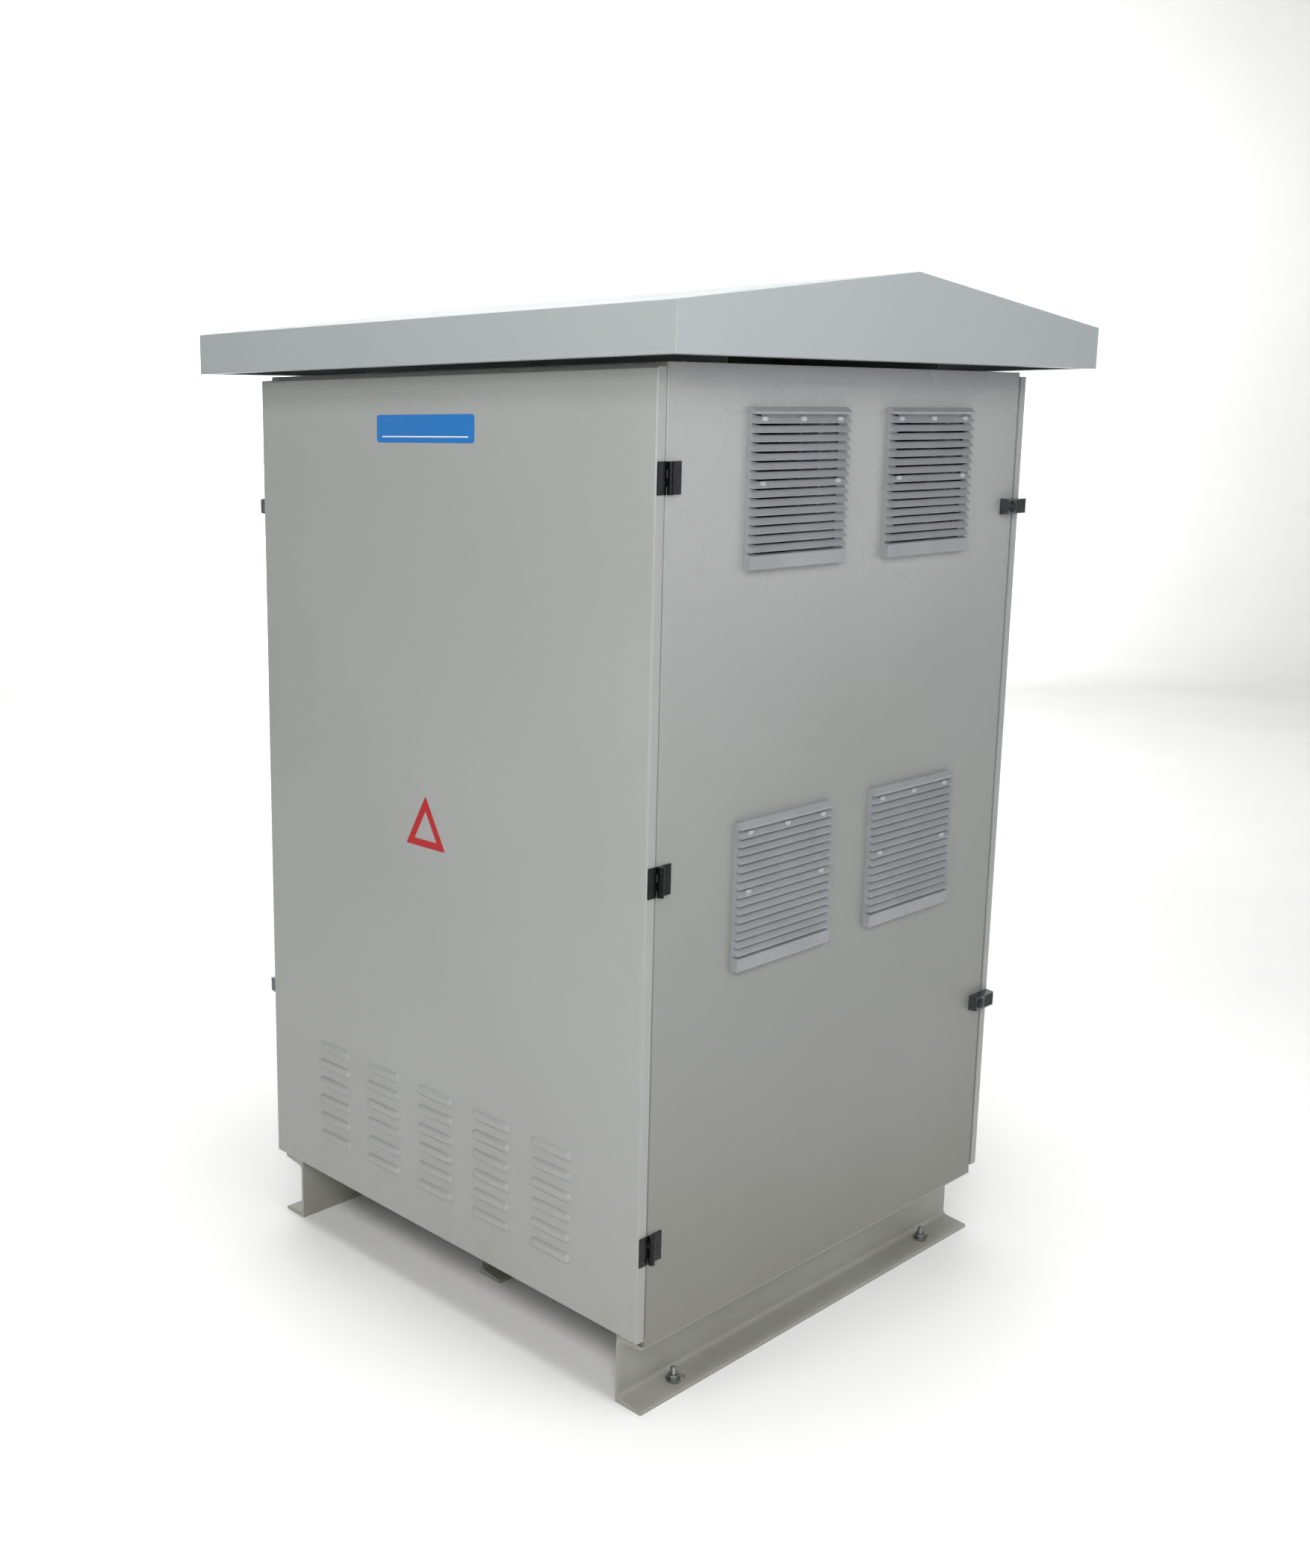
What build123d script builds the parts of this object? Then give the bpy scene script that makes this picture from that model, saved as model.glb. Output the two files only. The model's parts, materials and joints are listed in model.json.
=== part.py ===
from build123d import *
import os
from math import atan2, cos, degrees, pi, radians, sin, tan

# Outdoor two-door power cabinet with an isolation transformer and a phase-converter stack.
# Millimetres. X runs to the right along the front, Y to the rear, Z up.
# The origin is on the floor, under the middle of the body.

# ---- driving sizes -------------------------------------------------------
body_width = 1000.0
body_depth = 996.0
body_height = 1600.0
sheet = 2.0
edge_flange = 25.0
bend_radius = 4.0

channel_height = 126.0
channel_flange = 57.0
channel_web = 5.5
channel_flange_mean = 9.0
channel_flange_slope = 0.1
channel_root_radius = 9.0
channel_tip_radius = 3.0
channel_tip_inset = 3.0
channel_overrun = 4.0
middle_channel_setback = 118.0

anchor_gauge = 31.5
anchor_pitch = 762.0
anchor_slot_length = 38.0
anchor_slot_width = 14.0
anchor_diameter = 10.0
anchor_shift = -8.0
anchor_height = 34.0
washer_radius = 13.0
washer_thickness = 2.5
nut_height = 8.4
nut_across_flats = 17.0
thread_clearance = 0.05

floor_thickness = 3.0
pan_upstand = 30.0
cable_opening = (240.0, 90.0)
cable_opening_centre = (-235.0, 345.0)
gland_plate_margin = 25.0
gland_thread_radius = 20.0
gland_bore_radius = 14.0
gland_pitch = 56.0
gland_count = 4

canopy_overhang = 96.0
canopy_sheet = 2.0
canopy_fascia = 74.0
canopy_rise = 68.5
canopy_drop_gap = 6.0
canopy_lip = 22.0
rail_offset = 300.0
rail_foot = 40.0
rail_length = 900.0
rail_sheet = 3.0
roof_bolt_head_radius = 7.5
roof_bolt_head_height = 5.3
roof_bolt_radius = 4.0

door_depth = 19.4
door_gap = 4.0
door_bottom_gap = 13.5
door_top_gap = 7.5
door_lip = 12.0
door_edge_radius = 3.5
stiffener_offset = 210.0
stiffener_width = 60.0
stiffener_foot = 15.0
stiffener_depth = 16.0
stiffener_sheet = 1.5
gasket_width = 14.0

louvre_columns = 5
louvre_rows = 6
louvre_pitch_x = 150.0
louvre_pitch_z = 37.6
louvre_length = 97.0
louvre_bottom_row = 90.0
louvre_height = 21.0
louvre_depth = 6.0
louvre_mouth_drop = 4.0

frame_border = 45.0
frame_corner_clearance = 2.5
frame_return = 25.0

hinge_pitch = 626.5
hinge_height = 50.0
hinge_leaf = 2.5
hinge_offset_x = 6.0
hinge_offset_y = 4.0
hinge_knuckle_radius = 5.5
hinge_pin_radius = 2.5
hinge_running_clearance = 0.05
hinge_door_reach = 25.0
hinge_body_reach = 28.0
hinge_knuckles = 4
hinge_knuckle_gap = 0.3
hinge_side_gap = 0.5

lock_upper = 551.0
lock_lower = -429.0
lock_length = 64.0
lock_height = 30.0
lock_block_depth = 17.0
lock_taper = 1.5
lock_relief = 0.5
lock_end_inset = 3.0
lock_barrel_end = 15.0
lock_barrel_radius = 10.5
lock_collar_radius = 12.5
lock_collar_depth = 18.0
lock_barrel_depth = 19.5
lock_barrel_seat = 4.0
lock_barrel_clearance = 0.06
lock_key_slot = (1.6, 8.0, 2.0)
lock_bolt_radius = 4.0
lock_bolt_length = 9.0
lock_bolt_travel = 8.0
lock_bolt_clearance = 0.1
lock_bolt_end = 7.5
lock_bolt_start = 0.9
lock_hole_clearance = 1.0

vent_size = 255.0
vent_cutout = 224.0
vent_base = 4.0
vent_depth = 17.0
vent_blade_root = 7.0
vent_front_draft = 3.0
vent_blades = 15
vent_pitch = 14.35
vent_hood = 11.5
vent_riser = 3.6
vent_slot_span = 208.0
vent_slots = 4
vent_rib = 4.0
vent_cavity = 5.0
vent_centres_y = (-180.5, 197.0)
vent_centres_z = (body_height - 192.5, 0.4628 * body_height)
vent_housing_depth = 45.0
vent_housing_wall = 3.0
vent_fit = 0.5
vent_grid_bar = 4.0
vent_grid_bars = 5
filter_thickness = 12.0
filter_fit = 1.0

fan_size = 222.0
fan_depth = 65.0
fan_bore_radius = 103.0
fan_tip_clearance = 3.0
fan_hub_radius = 42.0
fan_hub_depth = 44.0
fan_blades = 7
fan_blade_chord = 62.0
fan_blade_thickness = 2.5
fan_blade_pitch = 38.0
fan_strut_width = 12.0
fan_strut_depth = 6.0
fan_motor_radius = 40.0
fan_motor_depth = 10.0
fan_shaft_radius = 4.0
fan_running_gap = 2.0
fan_shaft_clearance = 0.05

post_size = 40.0
post_wall = 3.0
post_offset_x = 335.0
post_y = 120.0
plate_thickness = 3.0
plate_width = 700.0
plate_bottom = 760.0
plate_headroom = 104.0

core_limb = 90.0
core_window = (90.0, 280.0)
core_depth = 120.0
core_lift = 64.0
core_y = 60.0
coil_wall_x = 38.0
coil_wall_y = 50.0
coil_clearance = 2.0
coil_end_gap = 10.0
coil_corner = 22.0
clamp_height = 70.0
clamp_depth = 14.0
clamp_overhang = 20.0
foot_width = 60.0
foot_length = 320.0

sink_size = (420.0, 90.0, 320.0)
sink_gap = 30.0
sink_base = 14.0
sink_fins = 21
sink_fin = 3.0
module_size = (62.0, 30.0, 106.0)
module_pitch = 120.0
capacitor_radius = 38.0
capacitor_length = 130.0
capacitor_pitch = 92.0
capacitor_rows = 2
capacitor_columns = 4
capacitor_terminal_radius = 5.0
capacitor_terminal_height = 6.0
capacitor_z = 880.0

breaker_size = (140.0, 88.0, 255.0)
breaker_centre = (-230.0, 1130.0)
toggle_slot = (34.0, 70.0)
toggle_size = (24.0, 46.0, 18.0)
toggle_pivot_depth = 40.0
toggle_swing = 30.0
toggle_pin_radius = 5.0
contactor_size = (120.0, 110.0, 150.0)
contactor_centre = (-230.0, 880.0)
board_size = (260.0, 180.0)
board_thickness = 1.6
board_standoff = 14.0
board_centre_x = 180.0
board_drop = 240.0
terminal_size = (40.0, 55.0, 70.0)
terminal_count = 7
terminal_centre = (110.0, 870.0)
earth_bar_size = (300.0, 6.0, 30.0)
earth_bar_y = -380.0
earth_bar_lift = 45.0
earth_bar_holes = 9

# ---- worked-out places ---------------------------------------------------
half_width = body_width / 2
half_depth = body_depth / 2
floor_z = channel_height
body_top = floor_z + body_height
inner_x = half_width - sheet
inner_y = half_depth - sheet
pan_top = floor_z + floor_thickness

door_face_y = half_depth + door_gap + door_depth
door_back_y = half_depth + door_gap
door_bottom = floor_z + door_bottom_gap
door_top = body_top - door_top_gap
door_middle = (door_bottom + door_top) / 2
door_skin_y = door_face_y - sheet

opening_x = half_width - frame_border - 5.0
opening_bottom = pan_top + frame_border
opening_top = body_top - sheet - frame_border
lip_front_y = door_skin_y - (door_depth - sheet) / 2 - 1.3

channel_web_x = half_width - channel_tip_inset - channel_flange
channel_half = half_depth + channel_overrun
anchor_x = channel_web_x + anchor_gauge

hinge_x = half_width + hinge_offset_x
hinge_y = half_depth - hinge_offset_y
hinge_levels = [door_middle + step * hinge_pitch for step in (-1, 0, 1)]
lock_end_y = door_face_y - lock_end_inset
lock_start_y = lock_end_y - lock_length
lock_barrel_y = lock_start_y + lock_barrel_end
lock_bolt_y = lock_end_y - lock_bolt_end
lock_levels = {"lower": door_middle + lock_lower, "upper": door_middle + lock_upper}

canopy_bottom = body_top + canopy_drop_gap
canopy_eaves = canopy_bottom + canopy_fascia
canopy_half_x = half_width + canopy_overhang
canopy_half_y = half_depth + canopy_overhang + 2.0
canopy_slope = canopy_rise / canopy_half_y
vent_places = [(y, z + channel_height) for z in vent_centres_z for y in vent_centres_y]
upper_vents = vent_places[:2]

os.makedirs("parts", exist_ok=True)


def block(x0, x1, y0, y1, z0, z1, mode=Mode.ADD):
    # The box between two corners, added to or cut from the part being built.
    with Locations(((x0 + x1) / 2, (y0 + y1) / 2, (z0 + z1) / 2)):
        Box(x1 - x0, y1 - y0, z1 - z0, mode=mode)


def turned(part):
    """The same piece on the other side of the body: half a turn about Z."""
    return part.rotate(Axis.Z, 180)


# ---- base channels: hot-rolled, tapered flanges --------------------------
def rolled_channel(web_x, side, half_length, slots):
    """A channel along Y with its back at web_x and its flanges towards side * X."""
    half_run = (channel_flange - channel_web) / 2
    tip = channel_flange_mean - channel_flange_slope * half_run
    root = channel_flange_mean + channel_flange_slope * half_run
    outline = [
        (0, 0),
        (channel_flange, 0),
        (channel_flange, tip),
        (channel_web, root),
        (channel_web, channel_height - root),
        (channel_flange, channel_height - tip),
        (channel_flange, channel_height),
        (0, channel_height),
    ]
    with BuildPart() as channel:
        with BuildSketch(Plane.XZ):
            with BuildLine():
                Polyline([(web_x + side * x, z) for x, z in outline], close=True)
            make_face()
            inner = [web_x + side * channel_web, web_x + side * channel_flange]
            corners = vertices().filter_by_position(Axis.Y, 1, channel_height - 1)
            roots = corners.filter_by_position(Axis.X, inner[0] - 0.1, inner[0] + 0.1)
            fillet(roots, channel_root_radius)
            corners = vertices().filter_by_position(Axis.Y, 1, channel_height - 1)
            tips = corners.filter_by_position(Axis.X, inner[1] - 0.1, inner[1] + 0.1)
            fillet(tips, channel_tip_radius)
        extrude(amount=half_length, both=True)
        if slots:
            with BuildSketch(Plane.XY):
                with Locations(*[(web_x + side * anchor_gauge, end * anchor_pitch / 2) for end in (-1, 1)]):
                    SlotOverall(anchor_slot_length, anchor_slot_width, rotation=90)
            extrude(amount=channel_height / 2, mode=Mode.SUBTRACT)
    return channel.part


channel_right = rolled_channel(channel_web_x, 1, channel_half, True)
channel_right.label = "channel_right"
export_step(channel_right, "parts/channel_right.step")

channel_left = rolled_channel(-channel_web_x, -1, channel_half, True)
channel_left.label = "channel_left"
export_step(channel_left, "parts/channel_left.step")

middle_half = half_depth - middle_channel_setback
channel_middle = rolled_channel(-channel_flange / 2, 1, middle_half, False)
channel_middle.label = "channel_middle"
export_step(channel_middle, "parts/channel_middle.step")

# ---- anchor studs, bevel washers and nuts --------------------------------
anchor_points = [
    (side * anchor_x, end * anchor_pitch / 2 + anchor_shift) for side in (-1, 1) for end in (-1, 1)
]
flange_tip_z = channel_flange_mean - channel_flange_slope * (channel_flange - channel_web) / 2
bevel_low = flange_tip_z + channel_flange_slope * (channel_flange - anchor_gauge - washer_radius)
bevel_high = flange_tip_z + channel_flange_slope * (channel_flange - anchor_gauge + washer_radius)
washer_top = bevel_high + washer_thickness

with BuildPart() as anchor_bolts:
    with Locations(*anchor_points):
        Cylinder(anchor_diameter / 2, anchor_height, align=(Align.CENTER, Align.CENTER, Align.MIN))
    chamfer(edges().group_by(Axis.Z)[-1], 1)
anchor_bolts.part.label = "anchor_bolts"
export_step(anchor_bolts.part, "parts/anchor_bolts.step")

with BuildPart() as anchor_washers:
    with Locations(*[(x, y, 0) for x, y in anchor_points]):
        Cylinder(washer_radius, washer_top, align=(Align.CENTER, Align.CENTER, Align.MIN))
    for side in (-1, 1):
        with BuildSketch(Plane.XZ):
            with BuildLine():
                Polyline(
                    (side * (anchor_x - washer_radius), 0),
                    (side * (anchor_x + washer_radius), 0),
                    (side * (anchor_x + washer_radius), bevel_low),
                    (side * (anchor_x - washer_radius), bevel_high),
                    close=True,
                )
            make_face()
        extrude(amount=channel_half, both=True, mode=Mode.SUBTRACT)
    with Locations(*anchor_points):
        Cylinder(anchor_diameter / 2 + 0.5, 3 * washer_top, mode=Mode.SUBTRACT)
anchor_washers.part.label = "anchor_washers"
export_step(anchor_washers.part, "parts/anchor_washers.step")

with BuildPart() as anchor_nuts:
    with BuildSketch(Plane.XY.offset(washer_top)):
        with Locations(*anchor_points):
            RegularPolygon(nut_across_flats / 2, 6, major_radius=False)
            Circle(anchor_diameter / 2 + thread_clearance, mode=Mode.SUBTRACT)
    extrude(amount=nut_height)
anchor_nuts.part.label = "anchor_nuts"
export_step(anchor_nuts.part, "parts/anchor_nuts.step")

# ---- floor pan, gland plate and cable glands ------------------------------
opening_w, opening_d = cable_opening
opening_cx, opening_cy = cable_opening_centre
frame_back_y = inner_y - sheet - frame_return

with BuildPart() as floor_pan:
    block(-inner_x, inner_x, -inner_y, inner_y, floor_z, pan_top)
    fillet(edges().filter_by(Axis.Z), bend_radius)
    for side in (-1, 1):
        outer = side * inner_x
        inner = side * (inner_x - floor_thickness)
        upstand = (pan_top, pan_top + pan_upstand)
        block(min(outer, inner), max(outer, inner), -frame_back_y, frame_back_y, *upstand)
    with Locations((opening_cx, opening_cy, floor_z)):
        Box(opening_w, opening_d, 4 * floor_thickness, mode=Mode.SUBTRACT)
floor_pan.part.label = "floor_pan"
export_step(floor_pan.part, "parts/floor_pan.step")

gland_points = [
    (opening_cx + (step - (gland_count - 1) / 2) * gland_pitch, opening_cy) for step in range(gland_count)
]
gland_plate_top = pan_top + floor_thickness
with BuildPart() as gland_plate:
    with BuildSketch(Plane.XY.offset(pan_top)):
        with Locations((opening_cx, opening_cy)):
            RectangleRounded(opening_w + 2 * gland_plate_margin, opening_d + 2 * gland_plate_margin, 6)
        with Locations(*gland_points):
            Circle(gland_thread_radius + thread_clearance, mode=Mode.SUBTRACT)
    extrude(amount=floor_thickness)
gland_plate.part.label = "gland_plate"
export_step(gland_plate.part, "parts/gland_plate.step")

with BuildPart() as cable_glands:
    with BuildSketch(Plane.XY.offset(gland_plate_top)):
        with Locations(*gland_points):
            RegularPolygon(gland_thread_radius + 5, 6)
    extrude(amount=9)
    with BuildSketch(Plane.XY.offset(pan_top - 30)):
        with Locations(*gland_points):
            Circle(gland_thread_radius)
    extrude(amount=30 + floor_thickness)
    with BuildSketch(Plane.XY.offset(pan_top - 30)):
        with Locations(*gland_points):
            RegularPolygon(gland_thread_radius + 5, 6)
    extrude(amount=16)
    with Locations(*gland_points):
        Cylinder(gland_bore_radius, 4 * pan_top, mode=Mode.SUBTRACT)
cable_glands.part.label = "cable_glands"
export_step(cable_glands.part, "parts/cable_glands.step")

# ---- side panels: one drawing, used twice with half a turn ----------------
with BuildPart() as side_panel_right:
    with BuildSketch(Plane.XY.offset(floor_z)):
        with Locations((half_width - edge_flange / 2, 0)):
            Rectangle(edge_flange, body_depth)
        with Locations((half_width - edge_flange / 2 - sheet, 0)):
            Rectangle(edge_flange, body_depth - 2 * sheet, mode=Mode.SUBTRACT)
        fillet(vertices().group_by(Axis.X)[-1], bend_radius)
        folds = vertices().filter_by_position(Axis.X, inner_x - 0.1, inner_x + 0.1)
        fillet(folds, bend_radius - sheet)
    extrude(amount=body_height)
    with BuildSketch(Plane.YZ.offset(inner_x - 1)):
        with Locations(*vent_places):
            RectangleRounded(vent_cutout, vent_cutout, 6)
    extrude(amount=sheet + 2, mode=Mode.SUBTRACT)
side_panel_right.part.label = "side_panel_right"

side_panel_left = turned(side_panel_right.part)
side_panel_left.label = "side_panel_left"
export_step(side_panel_right.part, "parts/side_panel_right.step")
export_step(side_panel_left, "parts/side_panel_left.step")

# ---- door frames with a rain lip, front and rear --------------------------
frame_half = inner_x - frame_corner_clearance
frame_top = body_top - sheet
frame_levels = (pan_top, frame_top)
with BuildPart() as rear_frame:
    block(-frame_half, frame_half, inner_y - sheet, inner_y, *frame_levels)
    block(
        -opening_x - sheet,
        opening_x + sheet,
        inner_y - frame_return,
        lip_front_y,
        opening_bottom - sheet,
        opening_top + sheet,
    )
    block(-opening_x, opening_x, 0, door_face_y, opening_bottom, opening_top, mode=Mode.SUBTRACT)
rear_frame.part.label = "rear_frame"
export_step(rear_frame.part, "parts/rear_frame.step")

front_frame = turned(rear_frame.part)
front_frame.label = "front_frame"
export_step(front_frame, "parts/front_frame.step")

# ---- roof pan, canopy rails and canopy ------------------------------------
with BuildPart() as roof_pan:
    block(-inner_x, inner_x, -inner_y, inner_y, body_top - sheet, body_top)
    fillet(edges().filter_by(Axis.Z), bend_radius)
    for side in (-1, 1):
        outer = side * inner_x
        inner = side * (inner_x - sheet)
        block(
            min(outer, inner),
            max(outer, inner),
            -frame_back_y,
            frame_back_y,
            body_top - sheet - pan_upstand,
            body_top - sheet,
        )
roof_pan.part.label = "roof_pan"
export_step(roof_pan.part, "parts/roof_pan.step")


def roof_underside(y):
    """Height of the canopy's inner face at a distance y from the ridge."""
    flat_drop = canopy_sheet / cos(atan2(canopy_rise, canopy_half_y))
    return canopy_eaves + canopy_rise - flat_drop - canopy_slope * abs(y)


with BuildPart() as canopy_rails:
    for side in (-1, 1):
        near = side * rail_offset
        web = side * (rail_offset + rail_sheet)
        far = side * (rail_offset + rail_foot)
        thick = rail_sheet / cos(atan2(canopy_rise, canopy_half_y))
        with BuildSketch(Plane.YZ):
            with BuildLine():
                Polyline(
                    (near, body_top),
                    (far, body_top),
                    (far, body_top + rail_sheet),
                    (web, body_top + rail_sheet),
                    (web, roof_underside(web) - thick),
                    (far, roof_underside(far) - thick),
                    (far, roof_underside(far)),
                    (near, roof_underside(near)),
                    close=True,
                )
            make_face()
        extrude(amount=rail_length / 2, both=True)
    rail_bolts = [
        (x * rail_length / 2.4, side * (rail_offset + rail_foot * 0.6), body_top)
        for x in (-1, 0, 1)
        for side in (-1, 1)
    ]
    with Locations(*rail_bolts):
        Cylinder(roof_bolt_radius + 0.5, 3 * rail_sheet, mode=Mode.SUBTRACT)
canopy_rails.part.label = "canopy_rails"
export_step(canopy_rails.part, "parts/canopy_rails.step")

with BuildPart() as rail_bolt_set:
    with BuildSketch(Plane.XY.offset(body_top + rail_sheet)):
        with Locations(*rail_bolts):
            RegularPolygon(roof_bolt_head_radius, 6)
    extrude(amount=roof_bolt_head_height)
    with BuildSketch(Plane.XY.offset(body_top)):
        with Locations(*rail_bolts):
            Circle(roof_bolt_radius)
    extrude(amount=rail_sheet)
rail_bolt_set.part.label = "rail_bolts"
export_step(rail_bolt_set.part, "parts/rail_bolts.step")


def canopy_outline(inset):
    """Gable outline in YZ, moved inwards by inset and open downwards when inset is not 0."""
    run = canopy_half_y - inset
    drop = inset / cos(atan2(canopy_rise, canopy_half_y))
    peak = canopy_eaves + canopy_rise - drop
    base = canopy_bottom if inset == 0 else canopy_bottom + inset
    eaves = peak - canopy_slope * run
    return [(-run, base), (run, base), (run, eaves), (0, peak), (-run, eaves)]


with BuildPart() as canopy:
    with BuildSketch(Plane.YZ):
        with BuildLine():
            Polyline(canopy_outline(0), close=True)
        make_face()
    extrude(amount=canopy_half_x, both=True)
    with BuildSketch(Plane.YZ):
        with BuildLine():
            Polyline(canopy_outline(canopy_sheet), close=True)
        make_face()
    extrude(amount=canopy_half_x - canopy_sheet, both=True, mode=Mode.SUBTRACT)
    mouth_x = canopy_half_x - canopy_lip
    mouth_y = canopy_half_y - canopy_lip
    mouth = (canopy_bottom - 1, canopy_bottom + canopy_sheet + 1)
    block(-mouth_x, mouth_x, -mouth_y, mouth_y, *mouth, mode=Mode.SUBTRACT)
canopy.part.label = "canopy"
export_step(canopy.part, "parts/canopy.step")

# ---- doors: folded pans with pressed louvres and stiffeners ---------------
louvre_radius = (louvre_height**2 / 4 + louvre_depth**2) / (2 * louvre_depth)
louvre_span = louvre_length - louvre_height
louvre_places = [
    (
        (column - (louvre_columns - 1) / 2) * louvre_pitch_x,
        door_bottom + louvre_bottom_row + row * louvre_pitch_z,
    )
    for column in range(louvre_columns)
    for row in range(louvre_rows)
]


def louvre_blister(radius, mode):
    """Long rounded blisters on the rear door's face: a cylinder with a ball at each end."""
    centre_y = door_face_y + louvre_depth - louvre_radius
    with Locations(*[(x, centre_y, z) for x, z in louvre_places]):
        Cylinder(radius, louvre_span, rotation=(0, 90, 0), mode=mode)
    for end in (-1, 1):
        with Locations(*[(x + end * louvre_span / 2, centre_y, z) for x, z in louvre_places]):
            Sphere(radius, mode=mode)


with BuildPart() as louvre_shells:
    louvre_blister(louvre_radius, Mode.ADD)
    louvre_blister(louvre_radius - sheet * 0.75, Mode.SUBTRACT)
    block(-half_width, half_width, 0, door_skin_y, door_bottom, door_top, mode=Mode.SUBTRACT)
    for row in range(louvre_rows):
        mouth = door_bottom + louvre_bottom_row + row * louvre_pitch_z - louvre_mouth_drop
        block(
            -half_width,
            half_width,
            door_skin_y - 1,
            door_face_y + 2 * louvre_depth,
            mouth - louvre_height,
            mouth,
            mode=Mode.SUBTRACT,
        )

with BuildPart() as rear_door:
    block(-half_width, half_width, door_back_y, door_face_y, door_bottom, door_top)
    fillet(edges().group_by(Axis.Y)[-1], door_edge_radius)
    block(
        -inner_x,
        inner_x,
        door_back_y + sheet,
        door_skin_y,
        door_bottom + sheet,
        door_top - sheet,
        mode=Mode.SUBTRACT,
    )
    block(
        -inner_x + door_lip,
        inner_x - door_lip,
        door_back_y - 1,
        door_back_y + sheet + 1,
        door_bottom + sheet + door_lip,
        door_top - sheet - door_lip,
        mode=Mode.SUBTRACT,
    )
    slot_top = louvre_height / 2 - 3.0
    for x, z in louvre_places:
        half_slot = louvre_span / 2 + 3.0
        block(
            x - half_slot,
            x + half_slot,
            door_skin_y - 1,
            door_face_y + 1,
            z - louvre_mouth_drop,
            z + slot_top,
            mode=Mode.SUBTRACT,
        )
    add(louvre_shells.part)
    stiffener_bottom = max(z for x, z in louvre_places) + louvre_height + 20
    stiffener_top = opening_top - 20
    for side in (-1, 1):
        middle = side * stiffener_offset
        half_hat = stiffener_width / 2
        block(
            middle - half_hat,
            middle + half_hat,
            door_skin_y - stiffener_depth,
            door_skin_y,
            stiffener_bottom,
            stiffener_top,
        )
        block(
            middle - half_hat + stiffener_sheet,
            middle + half_hat - stiffener_sheet,
            door_skin_y - stiffener_depth + stiffener_sheet,
            door_skin_y,
            stiffener_bottom - 1,
            stiffener_top + 1,
            mode=Mode.SUBTRACT,
        )

    # Two holes in the free side flange take the lock bolts.
    with BuildSketch(Plane.YZ.offset(inner_x - 1)):
        with Locations(*[(lock_bolt_y, level) for level in lock_levels.values()]):
            Circle(lock_bolt_radius + lock_hole_clearance)
    extrude(amount=sheet + 2, mode=Mode.SUBTRACT)
rear_door.part.label = "rear_door"
export_step(rear_door.part, "parts/rear_door.step")

front_door = turned(rear_door.part)
front_door.label = "front_door"
export_step(front_door, "parts/front_door.step")

# ---- door gaskets: a foam ring that meets the rain lip ---------------------
gasket_x = opening_x + sheet / 2
gasket_bottom = opening_bottom - sheet / 2
gasket_top = opening_top + sheet / 2
half_gasket = gasket_width / 2
with BuildPart() as rear_gasket:
    block(
        -gasket_x - half_gasket,
        gasket_x + half_gasket,
        lip_front_y,
        door_skin_y,
        gasket_bottom - half_gasket,
        gasket_top + half_gasket,
    )
    block(
        -gasket_x + half_gasket,
        gasket_x - half_gasket,
        lip_front_y - 1,
        door_skin_y + 1,
        gasket_bottom + half_gasket,
        gasket_top - half_gasket,
        mode=Mode.SUBTRACT,
    )
rear_gasket.part.label = "rear_gasket"
export_step(rear_gasket.part, "parts/rear_gasket.step")

front_gasket = turned(rear_gasket.part)
front_gasket.label = "front_gasket"
export_step(front_gasket, "parts/front_gasket.step")

# ---- butt hinges on the front door's right edge ---------------------------
knuckle_pitch = hinge_height / hinge_knuckles


def knuckle_levels(owner):
    """Bottom and top of each knuckle that belongs to the door leaf or the body leaf."""
    first = 0 if owner == "body" else 1
    spans = []
    for level in hinge_levels:
        for index in range(first, hinge_knuckles, 2):
            low = level - hinge_height / 2 + index * knuckle_pitch
            spans.append((low + hinge_knuckle_gap / 2, low + knuckle_pitch - hinge_knuckle_gap / 2))
    return spans


def hinge_leaves(owner):
    """Three leaves with their knuckles: the door's run to the front, the body's to the rear."""
    way = -1 if owner == "door" else 1
    reach = hinge_door_reach if owner == "door" else hinge_body_reach
    clear = hinge_knuckle_radius + hinge_side_gap
    root = -hinge_y + way * clear
    end = -hinge_y + way * reach
    with BuildPart() as leaves:
        for level in hinge_levels:
            block(
                half_width,
                half_width + hinge_leaf,
                min(root, end),
                max(root, end),
                level - hinge_height / 2,
                level + hinge_height / 2,
            )
        for low, high in knuckle_levels(owner):
            block(
                half_width,
                half_width + hinge_leaf,
                min(-hinge_y, root),
                max(-hinge_y, root),
                low,
                high,
            )
            with Locations((hinge_x, -hinge_y, (low + high) / 2)):
                Cylinder(hinge_knuckle_radius, high - low)
        with Locations(*[(hinge_x, -hinge_y, level) for level in hinge_levels]):
            Cylinder(hinge_pin_radius + hinge_running_clearance, hinge_height * 1.5, mode=Mode.SUBTRACT)
    return leaves.part


front_hinge_door_leaves = hinge_leaves("door")
front_hinge_door_leaves.label = "front_hinge_door_leaves"
export_step(front_hinge_door_leaves, "parts/front_hinge_door_leaves.step")

rear_hinge_door_leaves = turned(front_hinge_door_leaves)
rear_hinge_door_leaves.label = "rear_hinge_door_leaves"
export_step(rear_hinge_door_leaves, "parts/rear_hinge_door_leaves.step")

front_body_leaves = hinge_leaves("body")
with BuildPart() as hinge_body_leaves:
    add(front_body_leaves)
    add(turned(front_body_leaves))
hinge_body_leaves.part.label = "hinge_body_leaves"
export_step(hinge_body_leaves.part, "parts/hinge_body_leaves.step")

with BuildPart() as hinge_pins:
    for side in (-1, 1):
        with Locations(*[(side * hinge_x, -side * hinge_y, level) for level in hinge_levels]):
            Cylinder(hinge_pin_radius, hinge_height)
hinge_pins.part.label = "hinge_pins"
export_step(hinge_pins.part, "parts/hinge_pins.step")


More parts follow.
